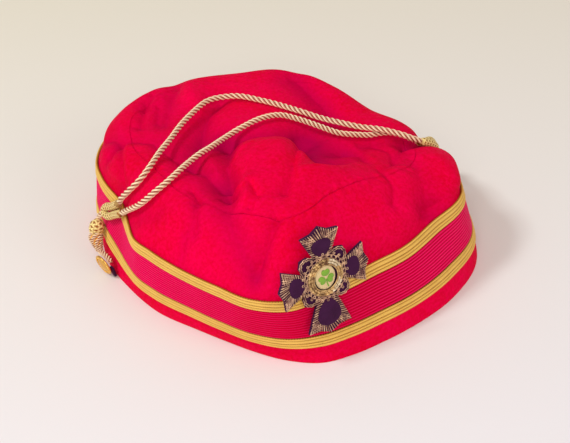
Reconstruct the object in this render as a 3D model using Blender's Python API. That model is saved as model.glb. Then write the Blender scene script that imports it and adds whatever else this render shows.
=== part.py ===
"""A soft fez lying slumped on a table: head band, corded ribbon, two gold braids, crumpled
crown, twisted gold cord with knots and gilt buttons, and an embroidered cross on the front.

The front of the hat faces -Y and +Z is up. The open head end rests on z = 0 and the middle
of the hat's plan is over the origin. Tables are in millimetres and degrees.
"""
import math

import bmesh
import bpy
import numpy as np
from mathutils import Matrix, Vector

MM = 0.001

# ---- driving sizes, in millimetres -------------------------------------------------
BAND_WIDTH = 42.0      # cloth height of the band, from the rim to the top of the upper braid
RIM_MARGIN = 10.8       # plain red edge below the lower braid
BRAID_WIDTH = 6.4
BRAID_THICK = 2.0
RIBBON_THICK = 1.2
CLOTH_THICK = 1.8
FIT_GAP = 0.35         # clearance between pieces that are sewn together
CORD_DIAMETER = 3.1
LOOP_DIAMETER = 3.4
TAIL_DIAMETER = 3.0
POLE = (-3.6, 4.4)     # plan position from which the station radii are measured
POLE_HEIGHT = 70.0     # height of the crown over that position
GRID = 20              # cells along each side of the crown top's square grid

# ---- stations around the hat -------------------------------------------------------
# Degrees are counted from the front towards the wearer's left (+X). rim, top, side and seam
# are radii from the pole: the floor edge, the upper edge of the band, the crown's side half
# way up, and the seam of the crown top. *_z are their heights, mid_z is the height half way
# from the seam to the pole, and bow is how far the band's middle stands out.
COLUMNS = ("deg", "rim", "bow", "top", "top_z", "side", "side_z", "seam", "seam_z", "mid_z")
STATIONS = (
    (0, 95.5, 1.0, 84.8, 40.3, 80, 58, 63, 71, 73),       # front, beside the badge
    (10, 94.7, 0.5, 81.0, 40.5, 76, 57, 56, 71, 72),
    (22, 93.7, 0.5, 79.0, 41.5, 73, 56, 53, 70, 71),
    (36, 95.5, 0.5, 80.6, 42.0, 74, 55, 53, 68, 69),
    (52, 100.5, 0.5, 83.6, 43.6, 77, 54, 58, 64, 66),
    (68, 105.5, 0.0, 92.5, 44.2, 86, 52, 66, 60, 63),      # +X corner
    (82, 104.0, 0.0, 90.0, 42.6, 89.5, 51.5, 70, 57.5, 60),
    (95, 99.0, 0.0, 84.5, 41.0, 83, 49, 69, 56, 59),
    (110, 93.0, 0.0, 80.0, 41.0, 77.5, 49.5, 66.5, 54.5, 59),
    (125, 88.0, 0.0, 77.0, 41.0, 73, 49, 63, 55, 59),
    (145, 85.0, 0.0, 78.0, 41.5, 76, 53, 67.5, 57.5, 60),
    (165, 85.0, 0.0, 83.0, 42.0, 83, 55, 75.5, 61, 60),
    (185, 87.0, 0.0, 86.0, 42.0, 86, 53, 77, 59, 61),      # back
    (202, 92.5, 0.0, 92.0, 42.0, 91, 54, 80.5, 60, 62),
    (220, 100.0, 0.0, 99.0, 42.0, 97.5, 54, 87, 61.5, 63),
    (235, 104.0, 0.0, 102.0, 42.0, 100.5, 52, 87, 60, 64),    # -X back corner
    (248, 102.5, 0.0, 99.5, 42.0, 96, 52, 81, 60, 65),
    (257, 98.0, 0.0, 93.5, 42.0, 90, 53, 76, 61, 66),
    (270, 94.0, 0.0, 84.0, 42.0, 82, 54, 68, 63, 67),
    (277, 91.0, 0.0, 83.4, 42.0, 80, 55, 66, 64, 68),
    (284, 88.5, 0.4, 84.8, 42.0, 79, 56, 65, 65, 69),      # -X front corner
    (292, 86.6, 0.5, 87.2, 42.0, 79, 56, 65, 66, 70),
    (300, 85.2, 0.5, 85.8, 42.0, 78, 57, 65, 67, 70),
    (315, 82.0, 0.5, 86.0, 42.0, 78, 58, 64, 69, 72),
    (328, 83.0, 1.0, 88.6, 42.0, 80, 58, 65, 70, 73),
    (339, 86.8, 1.0, 93.0, 41.5, 84, 58, 67, 71, 74),
    (350, 92.0, 1.0, 92.3, 41.0, 85, 58, 68, 71, 74),
)

# ---- folds and dents of the crown ----------------------------------------------------
# Folds lie along short paths in plan. left and right are how far each side of the path the
# fold reaches, looking along it. rise is positive for a ridge and negative for a valley, and
# crisp is 2 for a rounded fold down to 1 for a sharp crease.
FOLD_COLUMNS = ("name", "path", "left", "right", "rise", "crisp")
FOLDS = (
    ("raised middle", ((-23, -5), (-5, -7)), 8, 24, 4.0, 2.0),
    ("drop behind the middle", ((-27, 17), (-10, 15), (7, 15)), 11, 6, -6.0, 1.6),
    ("pit", ((10, 13), (9, -3), (12, -14)), 14, 6, -10.0, 1.5),
    ("pit's front lip", ((2, -31), (16, -29), (32, -19)), 4, 11, 3.0, 1.6),
    ("trough towards the +X knot", ((26, 4), (46, 11)), 8, 8, -3.5, 2.0),
    ("deep valley", ((-31, 16), (-31, 4), (-35, -12), (-36, -27)), 5, 11, -8.0, 1.3),
    ("crest beside the deep valley", ((-42, 4), (-41, -14)), 5, 5, 1.5, 1.8),
    ("slanting valley", ((-52, -3), (-46, -13), (-40, -30), (-38, -38)), 4, 7, -4.0, 1.3),
    ("swelling by the valley", ((-29, -34), (-31, -46)), 6, 5, 4.0, 1.7),
    ("front valley", ((-41, -47), (-40, -58), (-36, -71), (-33, -77)), 5, 8, -4.0, 1.5),
    ("bent valley", ((-26, 57), (-35, 46), (-40, 32), (-46, 12)), 4, 11, -5.5, 1.2),
    ("left crease", ((-90, 44), (-84, 36), (-68, 27), (-60, 9), (-52, -2)), 8, 4, -3.5, 1.2),
    ("left back crease", ((-46, 78), (-52, 66), (-59, 43)), 4, 8, -4.0, 1.3),
    ("left back ridge", ((-42, 76), (-39, 52)), 6, 6, 2.0, 2.0),
    ("back valley", ((20, 74), (29, 52), (33, 36)), 5, 13, -6.0, 1.5),
    ("edge of the +X side", ((62, -4), (65, -20), (61, -30)), 6, 10, 1.5, 2.0),
    ("hollow of the +X side", ((60, 4), (62, -22), (62, -44)), 7, 7, -3.0, 1.7),
    ("hollow over the braid", ((62, -47), (70, -40)), 5, 5, -2.0, 1.8),
    ("swelling of the +X side", ((75, -11), (83, -24)), 7, 7, 1.5, 2.0),
    ("dip under the cords' +X end", ((66, 7), (84, 13)), 9, 6, -5.5, 2.0),
    ("hollow under the near cord", ((-84, -18), (-74, -29)), 5, 5, -2.0, 1.8),
)

# ---- cords: route points chosen along the crown --------------------------------------
FAR_CORD = (
    (-89.8, -5.1, 47.8), (-87.9, -6.6, 52.2), (-83.9, -8.8, 58.0), (-78.4, -8.4, 63.2),
    (-72.6, -2.6, 66.0), (-65.8, 8.9, 66.2), (-58.8, 20.2, 65.4), (-50.5, 33.5, 65.2),
    (-38.9, 48.9, 63.9), (-32.4, 54.6, 63.2), (-25.0, 56.5, 62.8), (-16.4, 54.4, 63.5),
    (-6.2, 49.3, 62.9), (3.7, 42.9, 62.4), (12.8, 34.8, 62.6), (22.0, 30.2, 60.4),
    (31.8, 22.5, 60.8), (41.4, 17.2, 60.3), (51.0, 11.3, 61.4), (60.4, 6.4, 60.3),
    (66.5, 4.8, 57.9), (72.0, 5.2, 54.9),
)
NEAR_CORD = (
    (-89.4, -10.3, 45.1), (-86.1, -14.9, 50.2), (-80.2, -20.4, 57.3), (-73.0, -21.8, 64.4),
    (-66.0, -19.0, 67.8), (-58.6, -12.4, 69.1), (-52.6, -5.2, 68.2), (-46.5, -0.1, 68.6),
    (-40.6, 5.5, 67.4), (-34.3, 12.3, 65.9), (-27.8, 18.3, 65.0), (-22.4, 21.4, 65.6),
    (-10.4, 27.3, 66.2), (1.0, 30.2, 64.9), (10.8, 25.5, 63.7), (20.2, 19.9, 61.8),
    (29.7, 14.6, 59.8), (40.8, 14.1, 57.4), (46.0, 13.7, 56.9), (51.0, 13.4, 57.4),
    (56.0, 11.9, 58.2), (61.0, 9.4, 58.0), (66.8, 8.4, 55.2), (71.6, 9.0, 52.0),
)
LEFT_LOOP = (
    (-89.7, -9.7, 44.5), (-91.1, -4.0, 39.9), (-92.6, 0.9, 35.8), (-94.2, 3.9, 33.0),
    (-95.8, 7.2, 30.8), (-96.9, 10.2, 30.6), (-96.6, 10.6, 32.9), (-95.3, 8.8, 35.6),
    (-93.6, 5.4, 38.0), (-91.7, 1.0, 41.8), (-90.2, -4.4, 46.9),
)
RIGHT_LOOP = (
    (72.7, 5.5, 54.4), (75.6, 7.0, 52.3), (78.8, 9.0, 49.6), (81.6, 11.6, 46.0),
    (83.4, 15.0, 42.4), (84.6, 18.4, 39.4), (85.2, 21.2, 38.0), (84.4, 23.0, 39.8),
    (82.0, 20.6, 43.2), (79.4, 16.8, 46.0), (76.6, 13.6, 47.8), (74.4, 11.4, 49.6),
    (72.3, 9.8, 51.2),
)
LEFT_DROP = ((-98.1, 11.4, 29.6), (-99.7, 13.6, 26.6), (-100.1, 14.2, 24.6))
LEFT_TAIL = ((-101.7, 7.6, 7.2), (-100.5, 4.6, 8.4), (-98.9, 0.8, 9.3), (-97.5, -2.8, 9.2),
             (-96.9, -4.7, 9.2))
RIGHT_DROP = ((85.5, 22.5, 37.3), (87.6, 28.6, 32.4), (89.2, 34.4, 27.1))
RIGHT_TAIL = ((92.4, 38.7, 9.4), (91.6, 40.3, 7.4), (91.2, 43.3, 6.1))

# ---- knots: axis points and the radius at each ----------------------------------------
LEFT_KNOT = (
    ((-100.4, 14.4, 23.4), 2.4), ((-101.1, 14.2, 20.8), 3.8), ((-101.9, 13.8, 18.0), 4.2),
    ((-102.5, 13.0, 15.6), 3.8), ((-102.8, 11.9, 13.2), 4.1), ((-102.4, 10.6, 10.8), 3.6),
    ((-101.9, 9.2, 8.6), 2.4),
)
RIGHT_KNOT = (
    ((89.6, 34.8, 26.0), 2.4), ((90.4, 35.4, 23.4), 4.2), ((91.2, 36.0, 20.6), 4.7),
    ((91.8, 36.6, 18.0), 4.3), ((92.2, 37.2, 15.4), 4.7), ((92.4, 37.8, 12.8), 4.0),
    ((92.4, 38.4, 10.6), 2.4),
)

# ---- gilt buttons: middle, the way the face looks, radius and thickness ----------------
BUTTON_RADIUS = 6.6
BUTTON_THICK = 1.8
LEFT_BUTTON = ((-101.0, -3.4, 6.9), (-0.84, -0.50, -0.23))
RIGHT_BUTTON = ((92.6, 46.6, 6.9), (0.84, 0.50, 0.20))
TAB_SIZE = (2.4, 6.8, 1.4)                      # dark cloth tab under the -X button
TAB_MIDDLE = (-96.2, -5.9, 3.8)

# ---- embroidered badge -----------------------------------------------------------------
BADGE_MIDDLE = (-1.9, -81.5, 48.6)
BADGE_TURN = 19.4          # degrees that the badge faces to +X of the front
BADGE_LEAN = 14.0          # degrees that it leans back
BADGE_THICK = 1.4
ARM_ROOT = 10.8            # distance from the middle at which each arm starts to widen
# One row for each arm: its direction, the reach of its two corners and of its middle point,
# half its width at the corners, and the ends and half widths of its velvet pad.
ARM_COLUMNS = ("name", "deg", "corner", "point", "half_width",
               "pad_near", "pad_far", "pad_narrow", "pad_wide")
ARMS = (
    ("right", 0, 22.4, 25.0, 10.4, 10.6, 19.6, 3.2, 6.0),
    ("top", 90, 23.0, 26.6, 10.4, 11.0, 20.4, 3.2, 6.2),
    ("left", 180, 22.4, 25.0, 10.4, 10.6, 19.6, 3.2, 6.0),
    ("bottom", 270, 27.6, 30.6, 12.0, 11.4, 26.2, 2.4, 7.4),
)
LOBE_REACH = 17.0          # round lobes between the arms
LOBE_HALF_ANGLE = 13.0
PAD_RISE = 0.8
RING_RADIUS = 8.3
RING_WIRE = 1.25
MEDALLION_RADIUS = 6.4
LEAF_RADIUS = 1.9


# ---- materials -------------------------------------------------------------------------
def material(name, colour, roughness, metallic=0.0):
    mat = bpy.data.materials.new(name)
    mat.use_nodes = True
    shader = mat.node_tree.nodes["Principled BSDF"]
    shader.inputs["Base Color"].default_value = (*colour, 1.0)
    shader.inputs["Roughness"].default_value = roughness
    shader.inputs["Metallic"].default_value = metallic
    mat.diffuse_color = (*colour, 1.0)
    return mat


# ---- the hat's surface -----------------------------------------------------------------
def station(name, deg):
    """Value of one column at any angles: a smooth closed curve through the stations."""
    table = np.array(STATIONS, float)
    angle = table[:, 0]
    value = table[:, COLUMNS.index(name)]
    angle = np.concatenate([angle[-2:] - 360, angle, angle[:2] + 360])
    value = np.concatenate([value[-2:], value, value[:2]])
    slope = (value[2:] - value[:-2]) / (angle[2:] - angle[:-2])
    angle, value = angle[1:-1], value[1:-1]
    turn = np.mod(np.asarray(deg, float), 360.0)
    i = np.clip(np.searchsorted(angle, turn, side="right") - 1, 0, len(angle) - 2)
    span = angle[i + 1] - angle[i]
    t = (turn - angle[i]) / span
    return ((2 * t**3 - 3 * t**2 + 1) * value[i] + (t**3 - 2 * t**2 + t) * span * slope[i]
            + (3 * t**2 - 2 * t**3) * value[i + 1] + (t**3 - t**2) * span * slope[i + 1])


def from_pole(deg, radius, height):
    turn = np.radians(deg)
    x = POLE[0] + radius * np.sin(turn)
    y = POLE[1] - radius * np.cos(turn)
    return np.stack([x, y, height + 0 * turn], -1)


def band_point(deg, level):
    """Band cloth: level 0 is the rim, 1 the upper edge of the upper braid."""
    radius = ((1 - level) * station("rim", deg) + level * station("top", deg)
              + 4 * level * (1 - level) * station("bow", deg))
    return from_pole(deg, radius, level * station("top_z", deg))


def crown_point(deg, level):
    """Smooth crown: level 1 is the band's top, 2 mid side, 3 the seam, 5 the pole."""
    rim, top, top_z = station("rim", deg), station("top", deg), station("top_z", deg)
    seam, mid_z = station("seam", deg), station("mid_z", deg)
    far_seam, far_z = station("seam", deg + 180), station("mid_z", deg + 180)
    zero = 0 * deg
    radii = np.array([0.2 * rim + 0.8 * top, top, station("side", deg), seam, seam / 2,
                      zero, -far_seam / 2])
    heights = np.array([0.8 * top_z, top_z, station("side_z", deg), station("seam_z", deg),
                        mid_z, zero + POLE_HEIGHT, far_z])
    step = np.clip(np.floor(level - 1).astype(int), 0, 3)
    t = level - 1 - step
    weights = np.array([-t**3 + 2 * t**2 - t, 3 * t**3 - 5 * t**2 + 2,
                        -3 * t**3 + 4 * t**2 + t, t**3 - t**2]) / 2
    pick = np.arange(len(t))
    radius = sum(weights[k] * radii[step + k, pick] for k in range(4))
    height = sum(weights[k] * heights[step + k, pick] for k in range(4))
    return from_pole(deg, radius, height)


def fold_rise(points):
    """Height of the folds over the smooth crown, from the points' plan positions."""
    plan = points[:, :2]
    rise = np.zeros(len(plan))
    for row in FOLDS:
        fold = dict(zip(FOLD_COLUMNS, row))
        path = np.array(fold["path"], float)
        nearest = np.full(len(plan), 1e9)
        side = np.zeros(len(plan))
        for start, end in zip(path, path[1:]):
            run = end - start
            along = np.clip((plan - start) @ run / (run @ run), 0, 1)
            off = plan - start - along[:, None] * run
            away = np.linalg.norm(off, axis=1)
            turn = (run[0] * off[:, 1] - run[1] * off[:, 0]) / (np.linalg.norm(run) * (away + 1e-6))
            side = np.where(away < nearest, turn, side)
            nearest = np.minimum(away, nearest)
        reach = (fold["left"] + fold["right"]) / 2 + side * (fold["left"] - fold["right"]) / 2
        rise += fold["rise"] * np.exp(-(nearest / reach) ** fold["crisp"])
    return rise


def skin(deg, level, lift=0.0):
    """Point of the hat's outer face, lifted off it along its outward normal."""
    deg, level = np.broadcast_arrays(np.asarray(deg, float), np.asarray(level, float))
    shape = deg.shape
    deg, level = deg.ravel(), level.ravel()

    def smooth(d, v):
        low = band_point(d, np.clip(v, 0, 1))
        high = crown_point(d, np.clip(v, 1, 5))
        return np.where((v <= 1)[:, None], low, high)

    base = smooth(deg, level)
    near = np.clip(level, 0.02, 4.95)      # the pole itself has no direction around
    around = smooth(deg + 0.5, near) - smooth(deg - 0.5, near)
    up = smooth(deg, near + 0.02) - smooth(deg, near - 0.02)
    normal = np.cross(around, up)
    normal /= np.linalg.norm(normal, axis=1)[:, None]
    on_crown = np.clip((level - 1.05) / 0.4, 0, 1)
    rise = lift + fold_rise(base) * on_crown
    return (base + normal * rise[:, None]).reshape(*shape, 3)


def disc_grid():
    """Angle and radius (0 to 1) for a square grid drawn out to a disc."""
    side = np.linspace(-1, 1, GRID + 1)
    u, v = np.meshgrid(side, side, indexing="ij")
    x = u * np.sqrt(1 - v**2 / 2)
    y = v * np.sqrt(1 - u**2 / 2)
    return np.degrees(np.arctan2(x, -y)), np.hypot(x, y)


def around_angles():
    """Angles of the disc grid's outer points, in order, for the pieces that go round."""
    deg, radius = disc_grid()
    edge = radius > 1 - 1e-9
    return np.sort(np.mod(deg[edge], 360.0))


# ---- mesh helpers ------------------------------------------------------------------------
def finish(bm, name, mat, smooth=True):
    bmesh.ops.remove_doubles(bm, verts=bm.verts, dist=1e-7)
    bmesh.ops.recalc_face_normals(bm, faces=bm.faces)
    mesh = bpy.data.meshes.new(name)
    bm.to_mesh(mesh)
    bm.free()
    obj = bpy.data.objects.new(name, mesh)
    bpy.context.collection.objects.link(obj)
    mesh.materials.append(mat)
    for face in mesh.polygons:
        face.use_smooth = smooth
    if smooth:
        mesh.set_sharp_from_angle(angle=math.radians(50))
    return obj


def place_verts(bm, points):
    return [bm.verts.new(Vector(p) * MM) for p in points]


def sewn_round(name, profile, mat):
    """Closed strip around the hat. The profile is a loop of (level, lift) pairs."""
    angles = around_angles()
    bm = bmesh.new()
    rings = []
    for level, lift in profile:
        points = skin(angles, level, lift)
        if level == 0:
            points[:, 2] = 0.0
        rings.append(place_verts(bm, points))
    count = len(angles)
    for ring, following in zip(rings, rings[1:] + rings[:1]):
        for i in range(count):
            j = (i + 1) % count
            bm.faces.new((ring[i], ring[j], following[j], following[i]))
    return finish(bm, name, mat)


def level_of(millimetres):
    return millimetres / BAND_WIDTH


# ---- cloth pieces --------------------------------------------------------------------------
def head_band(mat):
    top = level_of(BAND_WIDTH - 3.8)
    levels = (0.0, level_of(12), level_of(25), top)
    outer = [(level, 0.0) for level in levels]
    inner = [(level, -CLOTH_THICK) for level in reversed(levels)]
    return sewn_round("headband", outer + inner, mat)


def ribbon(mat):
    low = level_of(RIM_MARGIN + BRAID_WIDTH + FIT_GAP)
    high = level_of(BAND_WIDTH - BRAID_WIDTH - FIT_GAP)
    levels = (low, (low + high) / 2, high)
    outer = [(level, RIBBON_THICK) for level in levels]
    inner = [(level, FIT_GAP) for level in reversed(levels)]
    return sewn_round("ribbon", outer + inner, mat)


def braid(name, start, mat):
    """Flat gold braid with three ridges along it."""
    ridges = 3
    profile = [(level_of(start), 0.9)]
    for i in range(2 * ridges - 1):
        across = start + BRAID_WIDTH * (i + 1) / (2 * ridges)
        lift = BRAID_THICK if i % 2 == 0 else BRAID_THICK - 0.9
        profile.append((level_of(across), lift))
    profile.append((level_of(start + BRAID_WIDTH), 0.9))
    profile.append((level_of(start + BRAID_WIDTH), FIT_GAP))
    profile.append((level_of(start), FIT_GAP))
    return sewn_round(name, profile, mat)


def crown_side(mat):
    low = level_of(BAND_WIDTH - 3.8 + 0.5)
    levels = (low, 1.0, 1.3, 1.65, 2.0, 2.35, 2.7, 3.0 - 0.008)
    outer = [(level, 0.0) for level in levels]
    inner = [(level, -CLOTH_THICK) for level in reversed(levels)]
    return sewn_round("crown_side", outer + inner, mat)


def crown_top(mat):
    deg, radius = disc_grid()
    level = 5.0 - radius * (2.0 - 0.008)
    bm = bmesh.new()
    sheets = []
    for lift in (0.0, -CLOTH_THICK):
        points = skin(deg, level, lift)
        sheets.append([place_verts(bm, row) for row in points])
    outer, inner = sheets
    for i in range(GRID):
        for j in range(GRID):
            for sheet in sheets:
                bm.faces.new((sheet[i][j], sheet[i + 1][j], sheet[i + 1][j + 1], sheet[i][j + 1]))
    for k in range(GRID):
        for a, b in (((k, 0), (k + 1, 0)), ((GRID, k), (GRID, k + 1)),
                     ((k + 1, GRID), (k, GRID)), ((0, k + 1), (0, k))):
            bm.faces.new((outer[a[0]][a[1]], inner[a[0]][a[1]], inner[b[0]][b[1]],
                          outer[b[0]][b[1]]))
    return finish(bm, "crown_top", mat)


# ---- cords, knots and buttons -----------------------------------------------------------------
def smooth_route(points, spacing):
    """Evenly spaced points of a smooth curve through the route points."""
    p = np.array(points, float)
    p = np.vstack([2 * p[0] - p[1], p, 2 * p[-1] - p[-2]])
    fine = []
    for a, b, c, d in zip(p, p[1:], p[2:], p[3:]):
        for t in np.linspace(0, 1, 24, endpoint=False):
            fine.append((2 * b + (c - a) * t + (2 * a - 5 * b + 4 * c - d) * t**2
                         + (3 * b - a - 3 * c + d) * t**3) / 2)
    fine.append(p[-2])
    fine = np.array(fine)
    run = np.concatenate([[0], np.cumsum(np.linalg.norm(np.diff(fine, axis=0), axis=1))])
    steps = np.linspace(0, run[-1], max(3, round(run[-1] / spacing) + 1))
    return np.stack([np.interp(steps, run, fine[:, k]) for k in range(3)], -1)


def cord(name, route, diameter, mat, spacing=2.5):
    """Round tube along a route, with a point every few diameters."""
    points = smooth_route(route, spacing * diameter)
    curve = bpy.data.curves.new(name, "CURVE")
    curve.dimensions = "3D"
    curve.bevel_depth = diameter / 2 * MM
    curve.bevel_resolution = 2
    curve.use_fill_caps = True
    spline = curve.splines.new("POLY")
    spline.points.add(len(points) - 1)
    for target, point in zip(spline.points, points):
        target.co = (*(Vector(point) * MM), 1.0)
    curve.materials.append(mat)
    obj = bpy.data.objects.new(name, curve)
    bpy.context.collection.objects.link(obj)
    return obj


def wound_knot(name, axis, mat, sides=10):
    """Knot wound round the cord: rings along a bent axis, wider and narrower in turn."""
    bm = bmesh.new()
    middles = [Vector(p) for p, _ in axis]
    rings = []
    for i, (middle, (_, radius)) in enumerate(zip(middles, axis)):
        ahead = middles[min(i + 1, len(middles) - 1)] - middles[max(i - 1, 0)]
        turn = ahead.to_track_quat("Z", "Y").to_matrix().to_4x4()
        ring = bmesh.ops.create_circle(
            bm, segments=sides, radius=radius * MM, cap_ends=False,
            matrix=Matrix.Translation(middle * MM) @ turn @ Matrix.Rotation(0.3 * i, 4, "Z"))
        rings.append(ring["verts"])
    edges = [{e for v in ring for e in v.link_edges} for ring in rings]
    for low, high in zip(edges, edges[1:]):
        bmesh.ops.bridge_loops(bm, edges=list(low | high))
    for ring in (rings[0], rings[-1]):
        bmesh.ops.contextual_create(bm, geom=ring)
    return finish(bm, name, mat)


def button(name, middle, facing, mat):
    bm = bmesh.new()
    bmesh.ops.create_cone(bm, segments=20, cap_ends=True, radius1=BUTTON_RADIUS * MM,
                          radius2=0.78 * BUTTON_RADIUS * MM, depth=BUTTON_THICK * MM)
    turn = Vector(facing).to_track_quat("Z", "Y").to_matrix().to_4x4()
    bmesh.ops.transform(bm, verts=bm.verts,
                        matrix=Matrix.Translation(Vector(middle) * MM) @ turn)
    return finish(bm, name, mat, smooth=False)


def button_tab(mat):
    bm = bmesh.new()
    bmesh.ops.create_cube(bm, size=1.0)
    bmesh.ops.scale(bm, verts=bm.verts, vec=Vector(TAB_SIZE) * MM)
    turn = Vector(LEFT_BUTTON[1]).to_track_quat("Z", "Y").to_matrix().to_4x4()
    bmesh.ops.transform(bm, verts=bm.verts,
                        matrix=Matrix.Translation(Vector(TAB_MIDDLE) * MM) @ turn)
    return finish(bm, "button_tab", mat, smooth=False)


# ---- badge ---------------------------------------------------------------------------------
def badge_point(across, up, out):
    """Place badge coordinates: across to +X, up the badge, and out from its back."""
    turn, lean = math.radians(BADGE_TURN), math.radians(BADGE_LEAN)
    right = Vector((math.cos(turn), math.sin(turn), 0))
    ahead = Vector((math.sin(turn), -math.cos(turn), 0))
    out_dir = ahead * math.cos(lean) + Vector((0, 0, math.sin(lean)))
    up_dir = Vector((0, 0, math.cos(lean))) - ahead * math.sin(lean)
    return Vector(BADGE_MIDDLE) + right * across + up_dir * up + out_dir * out


def polar(deg, radius):
    return radius * math.cos(math.radians(deg)), radius * math.sin(math.radians(deg))


def arm_point(deg, along, sideways):
    turn = math.radians(deg)
    return (along * math.cos(turn) - sideways * math.sin(turn),
            along * math.sin(turn) + sideways * math.cos(turn))


def badge_outline():
    """Outline of the cross: four arms with three points each and a round lobe between."""
    points = []
    for row in ARMS:
        arm = dict(zip(ARM_COLUMNS, row))
        wide = arm["half_width"]
        notch = (arm["corner"] + arm["point"]) / 2 - 1.0
        side = ((ARM_ROOT, 0.42 * wide), (arm["corner"], wide), (notch, 0.45 * wide))
        for along, out in side:
            points.append(arm_point(arm["deg"], along, -out))
        points.append(arm_point(arm["deg"], arm["point"], 0.0))
        for along, out in reversed(side):
            points.append(arm_point(arm["deg"], along, out))
        for turn in (-LOBE_HALF_ANGLE, 0, LOBE_HALF_ANGLE):
            reach = LOBE_REACH if turn == 0 else LOBE_REACH - 1.8
            points.append(polar(arm["deg"] + 45 + turn, reach))
    return points


def badge_slab(name, outline, back, front, mat, inset=0.0):
    """Flat piece of the badge: an outline given thickness, with its front edge drawn in."""
    bm = bmesh.new()
    low = [bm.verts.new(badge_point(x, y, back) * MM) for x, y in outline]
    face = bm.faces.new(low)
    grown = bmesh.ops.extrude_face_region(bm, geom=[face])
    new_verts = [v for v in grown["geom"] if isinstance(v, bmesh.types.BMVert)]
    shift = badge_point(0, 0, front) - badge_point(0, 0, back)
    bmesh.ops.translate(bm, verts=new_verts, vec=shift * MM)
    if inset:
        middle = sum((v.co for v in new_verts), Vector()) / len(new_verts)
        for v in new_verts:
            away = v.co - middle
            v.co -= away.normalized() * inset * MM
    bmesh.ops.triangulate(bm, faces=[f for f in bm.faces if len(f.verts) > 4])
    return finish(bm, name, mat, smooth=False)


def badge_pads(mats):
    """Velvet pads of the arms, one solid each, raised over the badge's ground."""
    for row in ARMS:
        arm = dict(zip(ARM_COLUMNS, row))
        far, wide = arm["pad_far"], arm["pad_wide"]
        side = ((arm["pad_near"], arm["pad_narrow"]), (far - 2.0, wide), (far, 0.45 * wide))
        outline = [arm_point(arm["deg"], along, -out) for along, out in side]
        outline += [arm_point(arm["deg"], along, out) for along, out in reversed(side)]
        back = BADGE_THICK + FIT_GAP
        badge_slab("badge_pad_" + arm["name"], outline, back, back + PAD_RISE,
                   mats["velvet"], inset=0.6)


def badge_ring(mat):
    """Wire ring round the medallion: a wire circle spun about the badge's middle."""
    bm = bmesh.new()
    centre = badge_point(0, 0, BADGE_THICK + FIT_GAP + RING_WIRE) * MM
    axis = (badge_point(0, 0, 1) - badge_point(0, 0, 0)).normalized()
    side = (badge_point(1, 0, 0) - badge_point(0, 0, 0)).normalized()
    up = axis.cross(side)
    frame = Matrix((side, axis, -up)).transposed().to_4x4()
    wire = bmesh.ops.create_circle(
        bm, segments=6, radius=RING_WIRE * MM,
        matrix=Matrix.Translation(centre + side * RING_RADIUS * MM) @ frame)
    edges = list({e for v in wire["verts"] for e in v.link_edges})
    bmesh.ops.spin(bm, geom=wire["verts"] + edges, cent=centre, axis=axis,
                   angle=math.tau, steps=20, use_merge=True)
    return finish(bm, "badge_ring", mat)


def badge_medallion(mat):
    outline = [polar(i * 360 / 20, MEDALLION_RADIUS) for i in range(20)]
    back = BADGE_THICK + FIT_GAP
    return badge_slab("badge_medallion", outline, back, back + 1.1, mat, inset=0.8)


def badge_sprig(mat):
    """Small green three-leaf sprig on the medallion."""
    outline = []
    for leaf in (90, 210, 330):
        cx, cy = polar(leaf, LEAF_RADIUS * 1.15)
        for turn in (-100, -60, -20, 20, 60, 100):
            dx, dy = polar(leaf + turn, LEAF_RADIUS)
            outline.append((cx + dx, cy + dy))
    back = BADGE_THICK + FIT_GAP + 1.1 + 0.3
    return badge_slab("badge_sprig", outline, back, back + 0.8, mat)


# ---- build -----------------------------------------------------------------------------------
def clear_scene():
    for obj in list(bpy.data.objects):
        bpy.data.objects.remove(obj, do_unlink=True)


def build():
    clear_scene()
    mats = {
        "red_cloth": material("red_cloth", (0.86, 0.006, 0.035), 0.62),
        "magenta_ribbon": material("magenta_ribbon", (0.72, 0.012, 0.085), 0.50),
        "gold_braid": material("gold_braid", (0.76, 0.43, 0.07), 0.42, 0.25),
        "gold_cord": material("gold_cord", (0.80, 0.50, 0.16), 0.38, 0.30),
        "gilt_metal": material("gilt_metal", (0.86, 0.56, 0.14), 0.30, 0.90),
        "velvet": material("velvet", (0.045, 0.010, 0.050), 0.90),
        "bullion": material("bullion", (0.30, 0.16, 0.08), 0.45, 0.50),
        "ring_gold": material("ring_gold", (0.72, 0.50, 0.22), 0.40, 0.50),
        "cream_silk": material("cream_silk", (0.86, 0.72, 0.42), 0.60),
        "green_silk": material("green_silk", (0.20, 0.42, 0.02), 0.60),
    }
    head_band(mats["red_cloth"])
    ribbon(mats["magenta_ribbon"])
    braid("lower_braid", RIM_MARGIN, mats["gold_braid"])
    braid("upper_braid", BAND_WIDTH - BRAID_WIDTH, mats["gold_braid"])
    crown_side(mats["red_cloth"])
    crown_top(mats["red_cloth"])

    cord("cord_far", FAR_CORD, CORD_DIAMETER, mats["gold_cord"])
    cord("cord_near", NEAR_CORD, CORD_DIAMETER, mats["gold_cord"])
    cord("left_loop", LEFT_LOOP, LOOP_DIAMETER, mats["gold_cord"], spacing=1.25)
    cord("right_loop", RIGHT_LOOP, LOOP_DIAMETER, mats["gold_cord"], spacing=1.25)
    cord("left_drop", LEFT_DROP, TAIL_DIAMETER, mats["gold_cord"])
    cord("left_tail", LEFT_TAIL, TAIL_DIAMETER, mats["gold_cord"])
    cord("right_drop", RIGHT_DROP, TAIL_DIAMETER, mats["gold_cord"])
    cord("right_tail", RIGHT_TAIL, TAIL_DIAMETER, mats["gold_cord"])
    wound_knot("left_knot", LEFT_KNOT, mats["gold_cord"])
    wound_knot("right_knot", RIGHT_KNOT, mats["gold_cord"])
    button("left_button", *LEFT_BUTTON, mats["gilt_metal"])
    button("right_button", *RIGHT_BUTTON, mats["gilt_metal"])
    button_tab(mats["velvet"])

    badge_slab("badge_ground", badge_outline(), 0.0, BADGE_THICK, mats["bullion"])
    badge_pads(mats)
    badge_ring(mats["ring_gold"])
    badge_medallion(mats["cream_silk"])
    badge_sprig(mats["green_silk"])


build()
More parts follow.
